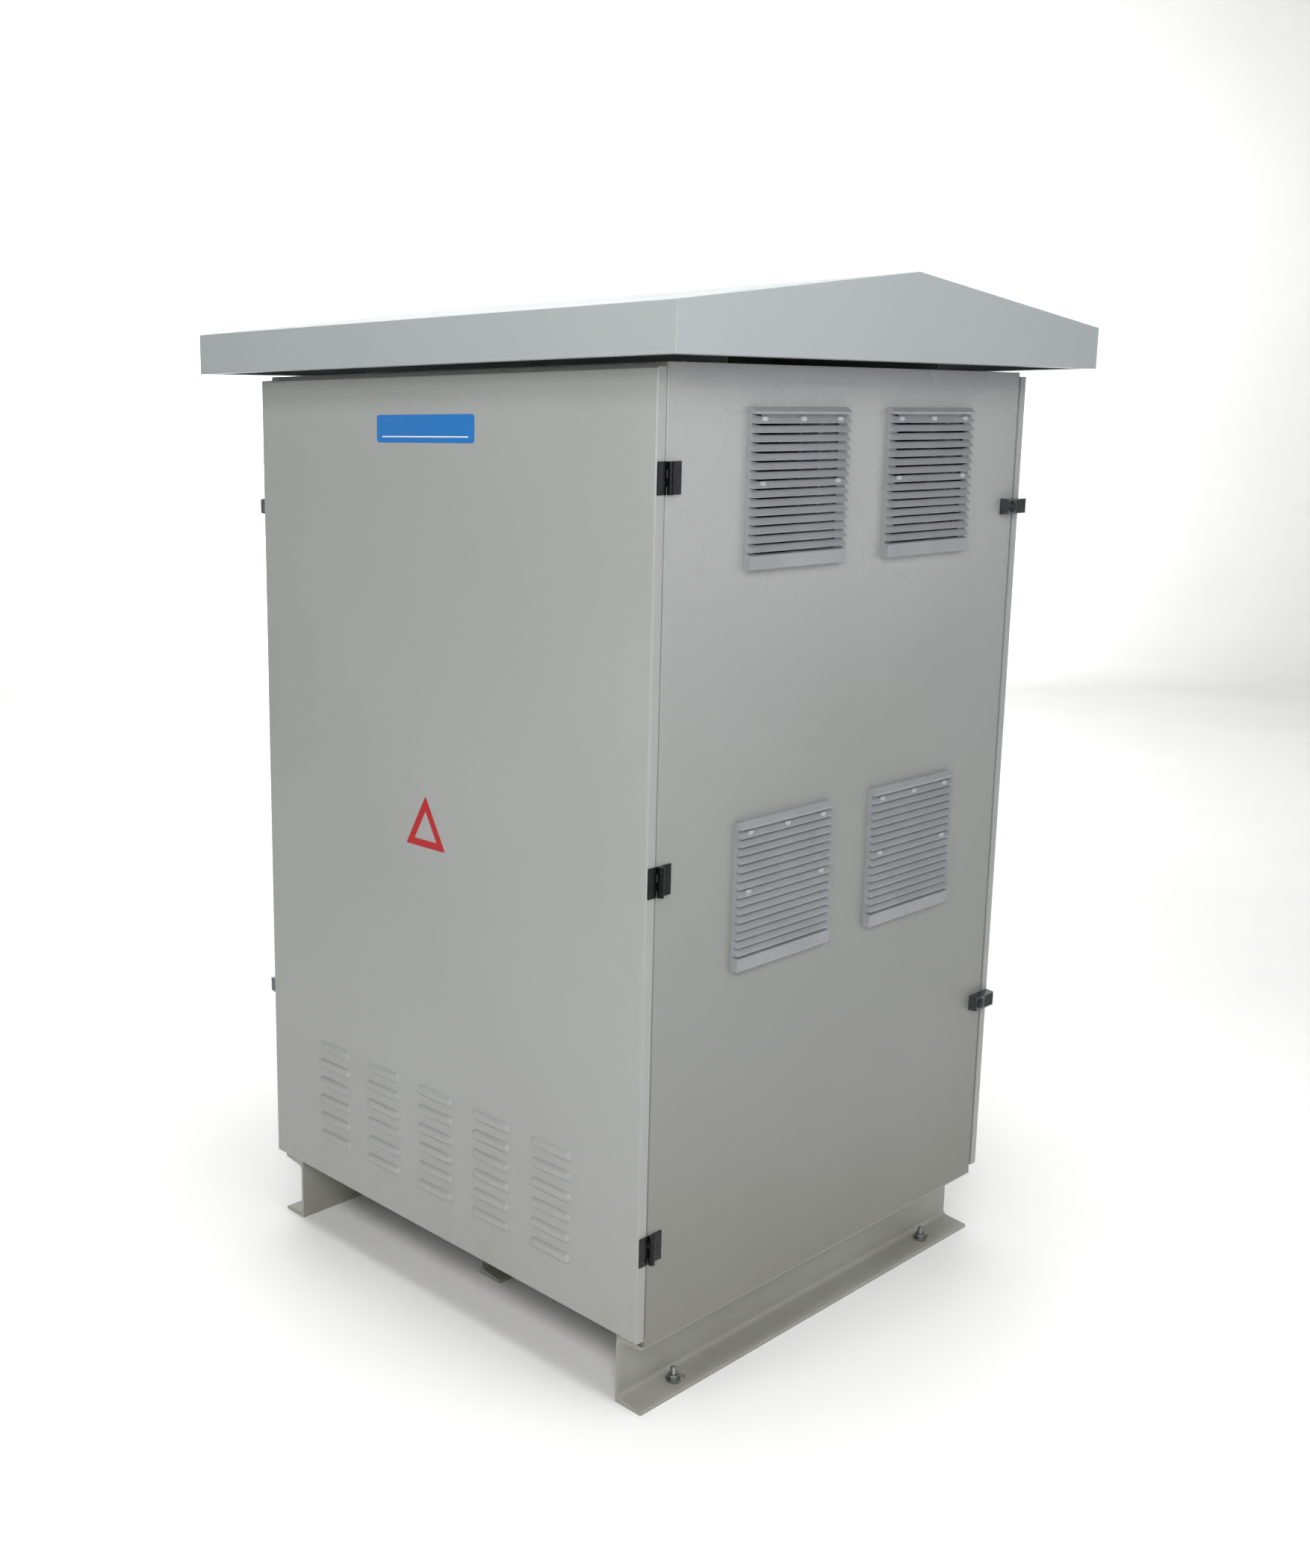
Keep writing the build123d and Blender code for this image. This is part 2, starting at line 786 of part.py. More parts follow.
# ---- locks: housing, keyed barrel and sliding bolt -------------------------
# The rear door's locks stand on the right panel and the front door's, by half a turn, on the left.
with BuildPart() as rear_lock_housings:
    for level in lock_levels.values():
        with BuildSketch(Plane.YZ.offset(half_width)):
            with Locations(((lock_start_y + lock_end_y) / 2, level)):
                Rectangle(lock_length, lock_height)
        with BuildSketch(Plane.YZ.offset(half_width + lock_block_depth)):
            with Locations(((lock_start_y + lock_end_y) / 2, level)):
                Rectangle(lock_length - 2 * lock_taper, lock_height - 2 * lock_taper)
        loft()
        with Locations((half_width + lock_collar_depth / 2, lock_barrel_y, level)):
            Cylinder(lock_collar_radius, lock_collar_depth, rotation=(0, 90, 0))
        bore_depth = lock_barrel_depth + 2 - lock_barrel_seat
        with Locations((half_width + lock_barrel_seat + bore_depth / 2, lock_barrel_y, level)):
            Cylinder(
                lock_barrel_radius + lock_barrel_clearance,
                bore_depth,
                rotation=(0, 90, 0),
                mode=Mode.SUBTRACT,
            )
        bore_depth = lock_bolt_start + lock_bolt_length + lock_bolt_clearance
        with Locations((half_width + bore_depth / 2, lock_bolt_y, level)):
            Cylinder(
                lock_bolt_radius + lock_bolt_clearance,
                bore_depth,
                rotation=(0, 90, 0),
                mode=Mode.SUBTRACT,
            )
    # A shallow relief keeps the nose off the door's flange as the door swings away.
    block(
        half_width,
        half_width + lock_relief,
        half_depth + 1,
        lock_end_y + 1,
        door_bottom,
        door_top,
        mode=Mode.SUBTRACT,
    )
rear_lock_housings.part.label = "rear_lock_housings"
export_step(rear_lock_housings.part, "parts/rear_lock_housings.step")

front_lock_housings = turned(rear_lock_housings.part)
front_lock_housings.label = "front_lock_housings"
export_step(front_lock_housings, "parts/front_lock_housings.step")

barrel_length = lock_barrel_depth - lock_barrel_seat
slot_width, slot_height, slot_depth = lock_key_slot
for level_name, level in lock_levels.items():
    with BuildPart() as lock_barrel:
        with Locations((half_width + lock_barrel_seat + barrel_length / 2, lock_barrel_y, level)):
            Cylinder(lock_barrel_radius, barrel_length, rotation=(0, 90, 0))
        with Locations((half_width + lock_barrel_depth, lock_barrel_y, level)):
            Box(2 * slot_depth, slot_width, slot_height, mode=Mode.SUBTRACT)
    lock_barrel.part.label = f"rear_{level_name}_lock_barrel"
    export_step(lock_barrel.part, f"parts/rear_{level_name}_lock_barrel.step")
    front_barrel = turned(lock_barrel.part)
    front_barrel.label = f"front_{level_name}_lock_barrel"
    export_step(front_barrel, f"parts/front_{level_name}_lock_barrel.step")

    with BuildPart() as lock_bolt:
        with Locations((half_width + lock_bolt_start + lock_bolt_length / 2, lock_bolt_y, level)):
            Cylinder(lock_bolt_radius, lock_bolt_length, rotation=(0, 90, 0))
    lock_bolt.part.label = f"rear_{level_name}_lock_bolt"
    export_step(lock_bolt.part, f"parts/rear_{level_name}_lock_bolt.step")
    front_bolt = turned(lock_bolt.part)
    front_bolt.label = f"front_{level_name}_lock_bolt"
    export_step(front_bolt, f"parts/front_{level_name}_lock_bolt.step")

# ---- vent grilles, housings and filter mats --------------------------------
half_vent = vent_size / 2


def grille_profile(centre_z):
    """Saw-tooth section in XZ: hood, blades that lean outwards, and a bottom bar."""
    top = centre_z + half_vent
    root = half_width + vent_blade_root
    tip = half_width + vent_depth - 1
    points = [(half_width, centre_z - half_vent), (half_width, top), (root, top), (tip, top - vent_hood + 4)]
    level = top - vent_hood
    points.append((tip, level))
    for blade in range(vent_blades + 1):
        points.append((root, level))
        points.append((root, level - vent_riser))
        if blade < vent_blades:
            level = top - vent_hood - (blade + 1) * vent_pitch
            points.append((tip, level + 1))
            points.append((tip, level))
    bar = half_width + vent_depth - 2
    points.append((bar, level - vent_riser - 2))
    points.append((bar, centre_z - half_vent + 1))
    points.append((bar - 1, centre_z - half_vent))
    return points


with BuildPart() as right_grilles:
    for centre_y, centre_z in vent_places:
        with BuildSketch(Plane.XZ.offset(-centre_y)):
            with BuildLine():
                Polyline(grille_profile(centre_z), close=True)
            make_face()
        extrude(amount=half_vent, both=True)
        inset = half_vent - 9.0
        block(
            half_width - 1,
            half_width + vent_cavity,
            centre_y - inset,
            centre_y + inset,
            centre_z - inset,
            centre_z + inset,
            mode=Mode.SUBTRACT,
        )
    slot_pitch = (vent_slot_span + vent_rib) / vent_slots
    slot_width = slot_pitch - vent_rib
    slot_height = vent_riser - 0.4
    with BuildSketch(Plane.YZ.offset(half_width + vent_cavity - 1)):
        for centre_y, centre_z in vent_places:
            top = centre_z + half_vent - vent_hood - slot_height / 2
            places = [
                (centre_y + (slot - (vent_slots - 1) / 2) * slot_pitch, top - blade * vent_pitch)
                for blade in range(vent_blades + 1)
                for slot in range(vent_slots)
            ]
            with Locations(*places):
                Rectangle(slot_width, slot_height)
    extrude(amount=vent_blade_root - vent_cavity + 2, mode=Mode.SUBTRACT)
right_grilles.part.label = "right_grilles"
export_step(right_grilles.part, "parts/right_grilles.step")

left_grilles = turned(right_grilles.part)
left_grilles.label = "left_grilles"
export_step(left_grilles, "parts/left_grilles.step")

housing_half = vent_cutout / 2 - vent_fit
housing_back = half_width - vent_housing_depth
hollow = housing_half - vent_housing_wall
with BuildPart() as right_vent_housings:
    with BuildSketch(Plane.YZ.offset(housing_back)):
        with Locations(*vent_places):
            RectangleRounded(2 * housing_half, 2 * housing_half, 6)
            Rectangle(2 * hollow, 2 * hollow, mode=Mode.SUBTRACT)
    extrude(amount=vent_housing_depth)
    bar_pitch = 2 * hollow / (vent_grid_bars + 1)
    with BuildSketch(Plane.YZ.offset(half_width - filter_thickness - vent_grid_bar)):
        with Locations(*vent_places):
            with GridLocations(bar_pitch, 0, vent_grid_bars, 1):
                Rectangle(vent_grid_bar, 2 * hollow)
            with GridLocations(0, bar_pitch, 1, vent_grid_bars):
                Rectangle(2 * hollow, vent_grid_bar)
    extrude(amount=vent_grid_bar)

with BuildPart() as vent_housings:
    add(right_vent_housings.part)
    add(turned(right_vent_housings.part))
vent_housings.part.label = "vent_housings"
export_step(vent_housings.part, "parts/vent_housings.step")

mat_half = housing_half - vent_housing_wall - filter_fit
with BuildPart() as filter_mats:
    for side in (-1, 1):
        for centre_y, centre_z in vent_places:
            near = side * (half_width - filter_thickness)
            far = side * half_width
            block(
                min(near, far),
                max(near, far),
                side * centre_y - mat_half,
                side * centre_y + mat_half,
                centre_z - mat_half,
                centre_z + mat_half,
            )
filter_mats.part.label = "filter_mats"
export_step(filter_mats.part, "parts/filter_mats.step")

# ---- exhaust fans behind the upper vents -----------------------------------
fan_front = housing_back
fan_back = fan_front - fan_depth
motor_front = fan_back + fan_strut_depth + fan_motor_depth
hub_back = motor_front + fan_running_gap
hub_front = hub_back + fan_hub_depth


def fan_frame(centre_y, centre_z):
    """A square axial-fan frame with a bored duct, four struts, a motor can and its shaft."""
    half = fan_size / 2
    with BuildPart() as frame:
        block(fan_back, fan_front, centre_y - half, centre_y + half, centre_z - half, centre_z + half)
        with Locations(((fan_back + fan_front) / 2, centre_y, centre_z)):
            Cylinder(fan_bore_radius, fan_depth + 2, rotation=(0, 90, 0), mode=Mode.SUBTRACT)
        with Locations((fan_back + fan_strut_depth / 2, centre_y, centre_z)):
            Box(fan_strut_depth, fan_strut_width, 2 * fan_bore_radius + 4)
            Box(fan_strut_depth, 2 * fan_bore_radius + 4, fan_strut_width)
        with Locations(((fan_back + motor_front) / 2, centre_y, centre_z)):
            Cylinder(fan_motor_radius, motor_front - fan_back, rotation=(0, 90, 0))
        with Locations(((motor_front + hub_front) / 2, centre_y, centre_z)):
            Cylinder(fan_shaft_radius, hub_front - motor_front, rotation=(0, 90, 0))
    return frame.part


def fan_rotor(centre_y, centre_z):
    """A hub with pitched blades, bored for the motor shaft."""
    tip = fan_bore_radius - fan_tip_clearance
    span = tip - fan_hub_radius + 4
    middle_x = (hub_back + hub_front) / 2
    with BuildPart() as rotor:
        with Locations((middle_x, centre_y, centre_z)):
            Cylinder(fan_hub_radius, fan_hub_depth, rotation=(0, 90, 0))
        with Locations(Plane(origin=(middle_x, centre_y, centre_z), x_dir=(0, 0, 1), z_dir=(1, 0, 0))):
            with PolarLocations(tip - span / 2, fan_blades):
                Box(span, fan_blade_chord, fan_blade_thickness, rotation=(fan_blade_pitch, 0, 0))
        with Locations((middle_x, centre_y, centre_z)):
            Cylinder(tip, fan_hub_depth, rotation=(0, 90, 0), mode=Mode.INTERSECT)
            Cylinder(
                fan_shaft_radius + fan_shaft_clearance,
                fan_hub_depth + 2,
                rotation=(0, 90, 0),
                mode=Mode.SUBTRACT,
            )
    return rotor.part


with BuildPart() as fan_frames:
    for centre_y, centre_z in upper_vents:
        frame = fan_frame(centre_y, centre_z)
        add(frame)
        add(turned(frame))
fan_frames.part.label = "fan_frames"
export_step(fan_frames.part, "parts/fan_frames.step")

fan_places = {"front": upper_vents[0], "rear": upper_vents[1]}
for end_name, (centre_y, centre_z) in fan_places.items():
    rotor = fan_rotor(centre_y, centre_z)
    rotor.label = f"right_{end_name}_fan_rotor"
    export_step(rotor, f"parts/right_{end_name}_fan_rotor.step")
    opposite = turned(rotor)
    left_name = "rear" if end_name == "front" else "front"
    opposite.label = f"left_{left_name}_fan_rotor"
    export_step(opposite, f"parts/left_{left_name}_fan_rotor.step")

# ---- equipment posts and mounting plate -------------------------------------
with BuildPart() as equipment_posts:
    with BuildSketch(Plane.XY.offset(pan_top)):
        with Locations((-post_offset_x, post_y), (post_offset_x, post_y)):
            Rectangle(post_size, post_size)
            Rectangle(post_size - 2 * post_wall, post_size - 2 * post_wall, mode=Mode.SUBTRACT)
    extrude(amount=body_top - sheet - pan_top)
equipment_posts.part.label = "equipment_posts"
export_step(equipment_posts.part, "parts/equipment_posts.step")

plate_back = post_y - post_size / 2
plate_front = plate_back - plate_thickness
plate_top = body_top - sheet - plate_headroom
with BuildPart() as mounting_plate:
    block(-plate_width / 2, plate_width / 2, plate_front, plate_back, plate_bottom, plate_top)
mounting_plate.part.label = "mounting_plate"
export_step(mounting_plate.part, "parts/mounting_plate.step")

# ---- three-limb isolation transformer ----------------------------------------
window_x, window_z = core_window
limb_pitch = core_limb + window_x
core_half = limb_pitch + core_limb / 2
core_bottom = pan_top + core_lift
core_top = core_bottom + window_z + 2 * core_limb
core_middle = (core_bottom + core_top) / 2
with BuildPart() as transformer_core:
    with BuildSketch(Plane.XZ.offset(-core_y)):
        with Locations((0, core_middle)):
            Rectangle(2 * core_half, core_top - core_bottom)
        with Locations((-limb_pitch / 2, core_middle), (limb_pitch / 2, core_middle)):
            Rectangle(window_x, window_z, mode=Mode.SUBTRACT)
    extrude(amount=core_depth / 2, both=True)
transformer_core.part.label = "transformer_core"
export_step(transformer_core.part, "parts/transformer_core.step")

with BuildPart() as transformer_coils:
    with BuildSketch(Plane.XY.offset(core_bottom + core_limb + coil_end_gap)):
        with Locations(*[(step * limb_pitch, core_y) for step in (-1, 0, 1)]):
            RectangleRounded(core_limb + 2 * coil_wall_x, core_depth + 2 * coil_wall_y, coil_corner)
            Rectangle(core_limb + 2 * coil_clearance, core_depth + 2 * coil_clearance, mode=Mode.SUBTRACT)
    extrude(amount=window_z - 2 * coil_end_gap)
transformer_coils.part.label = "transformer_coils"
export_step(transformer_coils.part, "parts/transformer_coils.step")

with BuildPart() as transformer_clamps:
    for side in (-1, 1):
        face = core_y + side * core_depth / 2
        back = face + side * clamp_depth
        for low in (core_bottom, core_top - clamp_height):
            block(
                -core_half - clamp_overhang,
                core_half + clamp_overhang,
                min(face, back),
                max(face, back),
                low,
                low + clamp_height,
            )
transformer_clamps.part.label = "transformer_clamps"
export_step(transformer_clamps.part, "parts/transformer_clamps.step")

with BuildPart() as transformer_feet:
    for side in (-1, 1):
        middle = side * (core_half - foot_width / 2)
        block(
            middle - foot_width / 2,
            middle + foot_width / 2,
            core_y - foot_length / 2,
            core_y + foot_length / 2,
            pan_top,
            core_bottom,
        )
        block(
            middle - foot_width / 2 + post_wall,
            middle + foot_width / 2 - post_wall,
            core_y - foot_length,
            core_y + foot_length,
            pan_top + post_wall,
            core_bottom - post_wall,
            mode=Mode.SUBTRACT,
        )
transformer_feet.part.label = "transformer_feet"
export_step(transformer_feet.part, "parts/transformer_feet.step")

# ---- converter stack behind the mounting plate -------------------------------
sink_x, sink_y, sink_z = sink_size
sink_bottom = capacitor_z + (capacitor_rows - 1) * capacitor_pitch + capacitor_radius + sink_gap
module_x, module_y, module_z = module_size
with BuildPart() as heat_sink:
    base_back = plate_back + module_y
    sink_levels = (sink_bottom, sink_bottom + sink_z)
    block(-sink_x / 2, sink_x / 2, base_back, base_back + sink_base, *sink_levels)
    for fin in range(sink_fins):
        left = -sink_x / 2 + fin * (sink_x - sink_fin) / (sink_fins - 1)
        block(
            left,
            left + sink_fin,
            plate_back + module_y + sink_base,
            plate_back + module_y + sink_y,
            sink_bottom,
            sink_bottom + sink_z,
        )
heat_sink.part.label = "heat_sink"
export_step(heat_sink.part, "parts/heat_sink.step")

with BuildPart() as power_modules:
    for step in (-1, 0, 1):
        for row in (-1, 1):
            with Locations(
                (
                    step * module_pitch,
                    plate_back + module_y / 2,
                    sink_bottom + sink_z / 2 + row * (module_z / 2 + 15),
                )
            ):
                Box(module_x, module_y, module_z)
power_modules.part.label = "power_modules"
export_step(power_modules.part, "parts/power_modules.step")

with BuildPart() as dc_capacitors:
    places = [
        ((column - (capacitor_columns - 1) / 2) * capacitor_pitch, capacitor_z + row * capacitor_pitch)
        for column in range(capacitor_columns)
        for row in range(capacitor_rows)
    ]
    with Locations(*[(x, plate_back + capacitor_length / 2, z) for x, z in places]):
        Cylinder(capacitor_radius, capacitor_length, rotation=(90, 0, 0))
    tail = plate_back + capacitor_length + capacitor_terminal_height / 2
    for offset in (-12, 12):
        with Locations(*[(x + offset, tail, z) for x, z in places]):
            Cylinder(capacitor_terminal_radius, capacitor_terminal_height, rotation=(90, 0, 0))
dc_capacitors.part.label = "dc_capacitors"
export_step(dc_capacitors.part, "parts/dc_capacitors.step")

# ---- switchgear on the front of the mounting plate ----------------------------
breaker_x, breaker_y, breaker_z = breaker_size
breaker_cx, breaker_cz = breaker_centre
breaker_face = plate_front - breaker_y
toggle_pivot = (breaker_cx, breaker_face + toggle_pivot_depth, breaker_cz)
slot_x, slot_z = toggle_slot
toggle_x, toggle_y, toggle_z = toggle_size
with BuildPart() as input_breaker:
    block(
        breaker_cx - breaker_x / 2,
        breaker_cx + breaker_x / 2,
        breaker_face,
        plate_front,
        breaker_cz - breaker_z / 2,
        breaker_cz + breaker_z / 2,
    )
    fillet(edges().group_by(Axis.Y)[0], 3)
    block(
        breaker_cx - slot_x / 2,
        breaker_cx + slot_x / 2,
        breaker_face - 1,
        breaker_face + toggle_pivot_depth + 20,
        breaker_cz - slot_z / 2,
        breaker_cz + slot_z / 2,
        mode=Mode.SUBTRACT,
    )
    with Locations(toggle_pivot):
        Cylinder(toggle_pin_radius, slot_x, rotation=(0, 90, 0))
input_breaker.part.label = "input_breaker"
export_step(input_breaker.part, "parts/input_breaker.step")

with BuildPart() as breaker_toggle:
    with Locations(toggle_pivot):
        Cylinder(toggle_z / 2, toggle_x, rotation=(0, 90, 0))
        with Locations((0, -(toggle_pivot_depth + toggle_y / 2) / 2, 0)):
            Box(toggle_x, toggle_pivot_depth + toggle_y / 2, toggle_z)
        Cylinder(
            toggle_pin_radius + hinge_running_clearance,
            toggle_x + 2,
            rotation=(0, 90, 0),
            mode=Mode.SUBTRACT,
        )
breaker_toggle.part.label = "breaker_toggle"
export_step(breaker_toggle.part, "parts/breaker_toggle.step")

contactor_x, contactor_y, contactor_z = contactor_size
contactor_cx, contactor_cz = contactor_centre
with BuildPart() as contactor:
    with Locations((contactor_cx, plate_front - contactor_y / 2, contactor_cz)):
        Box(contactor_x, contactor_y, contactor_z)
    fillet(edges().group_by(Axis.Y)[0], 3)
    for row in (-1, 1):
        for pole in (-1, 0, 1):
            pole_x = contactor_cx + pole * contactor_x / 3.4
            pole_z = contactor_cz + row * contactor_z / 2
            with Locations((pole_x, plate_front - contactor_y, pole_z)):
                Box(contactor_x / 5, contactor_y / 1.5, contactor_z / 4, mode=Mode.SUBTRACT)
contactor.part.label = "contactor"
export_step(contactor.part, "parts/contactor.step")

board_x, board_z = board_size
board_cx, board_cz = board_centre_x, plate_top - board_drop
board_back = plate_front - board_standoff
with BuildPart() as control_board:
    with Locations((board_cx, board_back - board_thickness / 2, board_cz)):
        Box(board_x, board_thickness, board_z)
    with Locations((board_cx, board_back + board_standoff / 2, board_cz)):
        with GridLocations(board_x - 20, 0, 2, 1):
            Cylinder(4, board_standoff, rotation=(90, 0, 0))
    for spot_x, spot_z, size in ((-70, 30, 36), (10, 30, 24), (70, -35, 30), (-50, -45, 26)):
        with Locations((board_cx + spot_x, board_back - board_thickness - 5, board_cz + spot_z)):
            Box(size, 10, size)
control_board.part.label = "control_board"
export_step(control_board.part, "parts/control_board.step")

terminal_x, terminal_y, terminal_z = terminal_size
terminal_cx, terminal_cz = terminal_centre
with BuildPart() as terminal_block:
    half_run = terminal_count * terminal_x / 2
    block(
        terminal_cx - half_run,
        terminal_cx + half_run,
        plate_front - terminal_y,
        plate_front,
        terminal_cz - terminal_z / 2,
        terminal_cz + terminal_z / 2,
    )
    for index in range(terminal_count):
        middle = terminal_cx - half_run + (index + 0.5) * terminal_x
        for row in (-1, 1):
            with Locations((middle, plate_front - terminal_y, terminal_cz + row * terminal_z / 2)):
                Box(terminal_x - 6, terminal_y, terminal_z / 2, mode=Mode.SUBTRACT)
            with Locations((middle, plate_front - terminal_y / 2, terminal_cz + row * terminal_z * 0.36)):
                Cylinder(6, 10, rotation=(90, 0, 0))
terminal_block.part.label = "terminal_block"
export_step(terminal_block.part, "parts/terminal_block.step")

bar_x, bar_y, bar_z = earth_bar_size
bar_bottom = pan_top + earth_bar_lift
with BuildPart() as earth_bar:
    block(-bar_x / 2, bar_x / 2, earth_bar_y, earth_bar_y + bar_y, bar_bottom, bar_bottom + bar_z)
    with Locations((0, earth_bar_y, bar_bottom + bar_z / 2)):
        with GridLocations(30.0, 0, earth_bar_holes, 1):
            Cylinder(4.5, 4 * bar_y, rotation=(90, 0, 0), mode=Mode.SUBTRACT)
    for side in (-1, 1):
        middle = side * (bar_x / 2 - 12)
        foot_front = earth_bar_y + bar_y
        block(middle - 10, middle + 10, foot_front, foot_front + 16, pan_top, bar_bottom + bar_z)
earth_bar.part.label = "earth_bar"
export_step(earth_bar.part, "parts/earth_bar.step")
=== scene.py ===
import json
import math

import bmesh
import bpy
import numpy as np
from mathutils import Matrix, Vector

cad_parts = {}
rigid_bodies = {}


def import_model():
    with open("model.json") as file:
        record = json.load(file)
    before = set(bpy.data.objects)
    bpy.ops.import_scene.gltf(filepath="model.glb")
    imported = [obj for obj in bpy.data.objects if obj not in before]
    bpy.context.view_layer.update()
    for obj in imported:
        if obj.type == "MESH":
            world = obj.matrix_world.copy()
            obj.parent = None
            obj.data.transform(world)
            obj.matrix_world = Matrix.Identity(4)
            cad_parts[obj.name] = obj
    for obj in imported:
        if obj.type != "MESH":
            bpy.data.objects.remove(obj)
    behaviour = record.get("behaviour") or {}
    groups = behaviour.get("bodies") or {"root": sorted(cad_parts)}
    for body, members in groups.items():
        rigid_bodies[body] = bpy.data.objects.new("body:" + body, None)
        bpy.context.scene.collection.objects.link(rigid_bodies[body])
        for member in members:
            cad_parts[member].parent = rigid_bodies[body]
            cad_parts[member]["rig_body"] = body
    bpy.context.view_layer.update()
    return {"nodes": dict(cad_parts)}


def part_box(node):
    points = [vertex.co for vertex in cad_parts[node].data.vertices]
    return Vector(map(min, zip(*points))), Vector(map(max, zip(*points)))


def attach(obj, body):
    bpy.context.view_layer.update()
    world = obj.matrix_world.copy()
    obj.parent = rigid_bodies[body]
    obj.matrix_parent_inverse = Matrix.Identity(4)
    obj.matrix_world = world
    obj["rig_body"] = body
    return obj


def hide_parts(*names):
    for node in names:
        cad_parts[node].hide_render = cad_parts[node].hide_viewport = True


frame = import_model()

nodes = frame["nodes"]
print("frame loaded:", len(nodes), "nodes")


# small tools

def toLinear(hexText):
    # sRGB hex to linear: c / 12.92 under the knee, ((c + 0.055) / 1.055) ^ 2.4 over it
    parts = [int(hexText[i:i + 2], 16) / 255.0 for i in (1, 3, 5)]
    return tuple(c / 12.92 if c <= 0.04045 else ((c + 0.055) / 1.055) ** 2.4 for c in parts) + (1.0,)


def addNode(tree, kind, inputs, read, **settings):
    # adds a node with its settings and inputs (a socket is linked, anything else is set), and returns one output
    made = tree.nodes.new(kind)
    for key, value in settings.items():
        setattr(made, key, value)
    for key, value in inputs.items():
        if isinstance(value, bpy.types.NodeSocket):
            tree.links.new(value, made.inputs[key])
        else:
            made.inputs[key].default_value = value
    return made.outputs[read]


def startMaterial(name, **sockets):
    # a Principled material and its Object coordinates; uniform values sit on the shader's own sockets
    material = bpy.data.materials.new(name)
    material.use_nodes = True
    tree = material.node_tree
    shader = tree.nodes["Principled BSDF"]
    for key, value in sockets.items():
        shader.inputs[key.replace("_", " ")].default_value = value
    return material, tree, shader, addNode(tree, "ShaderNodeTexCoord", {}, "Object")


def linkPiece(name, mesh, material, body, smooth=True):
    piece = bpy.data.objects.new(name, mesh)
    bpy.context.scene.collection.objects.link(piece)
    mesh.materials.clear()
    mesh.materials.append(finish[material])
    if smooth:
        mesh.polygons.foreach_set("use_smooth", np.ones(len(mesh.polygons), bool))
    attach(piece, body)
    return piece


def surfaceMesh(name, sheets):
    # sheets: list of (points, wrapRows, wrapColumns, capFirst, capLast); each points array is rows x columns x 3.
    # Quads join neighbouring rows and columns; a cap is a fan round the row's mean point.
    verts, faces, base = [], [], 0
    for points, wrapRows, wrapColumns, capFirst, capLast in sheets:
        rows, columns, _ = points.shape
        flat = points.reshape(-1, 3)
        r = np.arange(rows if wrapRows else rows - 1)[:, None]
        c = np.arange(columns if wrapColumns else columns - 1)[None, :]
        r2, c2 = (r + 1) % rows, (c + 1) % columns
        quads = np.stack([r * columns + c + 0 * c2, r * columns + c2, r2 * columns + c2, r2 * columns + c], -1)
        faces += (quads.reshape(-1, 4) + base).tolist()
        extra = []
        for wanted, row, flip in ((capFirst, 0, True), (capLast, rows - 1, False)):
            if wanted:
                extra.append(flat[row * columns:(row + 1) * columns].mean(0))
                middle = base + len(flat) + len(extra) - 1
                k = np.arange(columns)
                a, b = base + row * columns + k, base + row * columns + (k + 1) % columns
                fan = np.stack([b, a, np.full(columns, middle)] if flip else [a, b, np.full(columns, middle)], -1)
                faces += fan.tolist()
        verts.append(flat)
        if extra:
            verts.append(np.array(extra))
        base += len(flat) + len(extra)
    mesh = bpy.data.meshes.new(name)
    mesh.from_pydata(np.concatenate(verts).tolist(), [], faces)
    mesh.validate()
    work = bmesh.new()
    work.from_mesh(mesh)
    bmesh.ops.remove_doubles(work, verts=work.verts, dist=1e-7)
    bmesh.ops.recalc_face_normals(work, faces=work.faces)
    work.to_mesh(mesh)
    work.free()
    return mesh


def axes(axis):
    # three unit vectors: the axis, and two that cross it
    along = Vector(axis).normalized()
    side = along.orthogonal().normalized()
    return np.array(along), np.array(side), np.array(along.cross(side))


def turnedSheet(profile, centre, axis, steps=48, radiusAt=None):
    # revolve: point = centre + axis * h + (cos a * u + sin a * v) * r, for each (r, h) and angle a
    along, u, v = axes(axis)
    angles = np.linspace(0, 2 * np.pi, steps, endpoint=False)
    radius, height = np.asarray(profile, float).T[:, :, None]
    if radiusAt is not None:
        radius = radiusAt(radius, height, angles[None, :])
    else:
        radius = radius + 0 * angles[None, :]
    ring = np.cos(angles)[None, :, None] * u + np.sin(angles)[None, :, None] * v
    points = np.asarray(centre) + along * height[..., None] + ring * radius[..., None]
    return points, False, True, True, True


def hardEdges(mesh, angle):
    # marks every edge that turns more than the angle as sharp, so flat faces stay flat
    work = bmesh.new()
    work.from_mesh(mesh)
    limit = math.radians(angle)
    for edge in work.edges:
        edge.smooth = len(edge.link_faces) == 2 and edge.calc_face_angle(0) < limit
    for face in work.faces:
        face.smooth = True
    work.to_mesh(mesh)
    work.free()


def eased(nodeName, material, width=0.0, segments=2, angle=32):
    # a merged copy of a CAD node with its sharp edges rounded by the bevel width, in metres
    source = nodes[nodeName]
    mesh = source.data.copy()
    mesh.name = nodeName + "_eased"
    work = bmesh.new()
    work.from_mesh(mesh)
    bmesh.ops.remove_doubles(work, verts=work.verts, dist=1e-6)
    bmesh.ops.dissolve_limit(work, angle_limit=math.radians(0.4), verts=work.verts, edges=work.edges)
    work.to_mesh(mesh)
    work.free()
    for extra in ("custom_normal", "sharp_face"):
        if extra in mesh.attributes:
            mesh.attributes.remove(mesh.attributes[extra])
    hardEdges(mesh, angle)
    piece = linkPiece(nodeName + "_eased", mesh, material, source["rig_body"], smooth=False)
    if width:
        bevel = piece.modifiers.new("easedEdges", "BEVEL")
        bevel.width = width
        bevel.segments = segments
        bevel.limit_method = "ANGLE"
        bevel.angle_limit = math.radians(angle)
        bevel.harden_normals = True
    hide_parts(nodeName)
    return piece


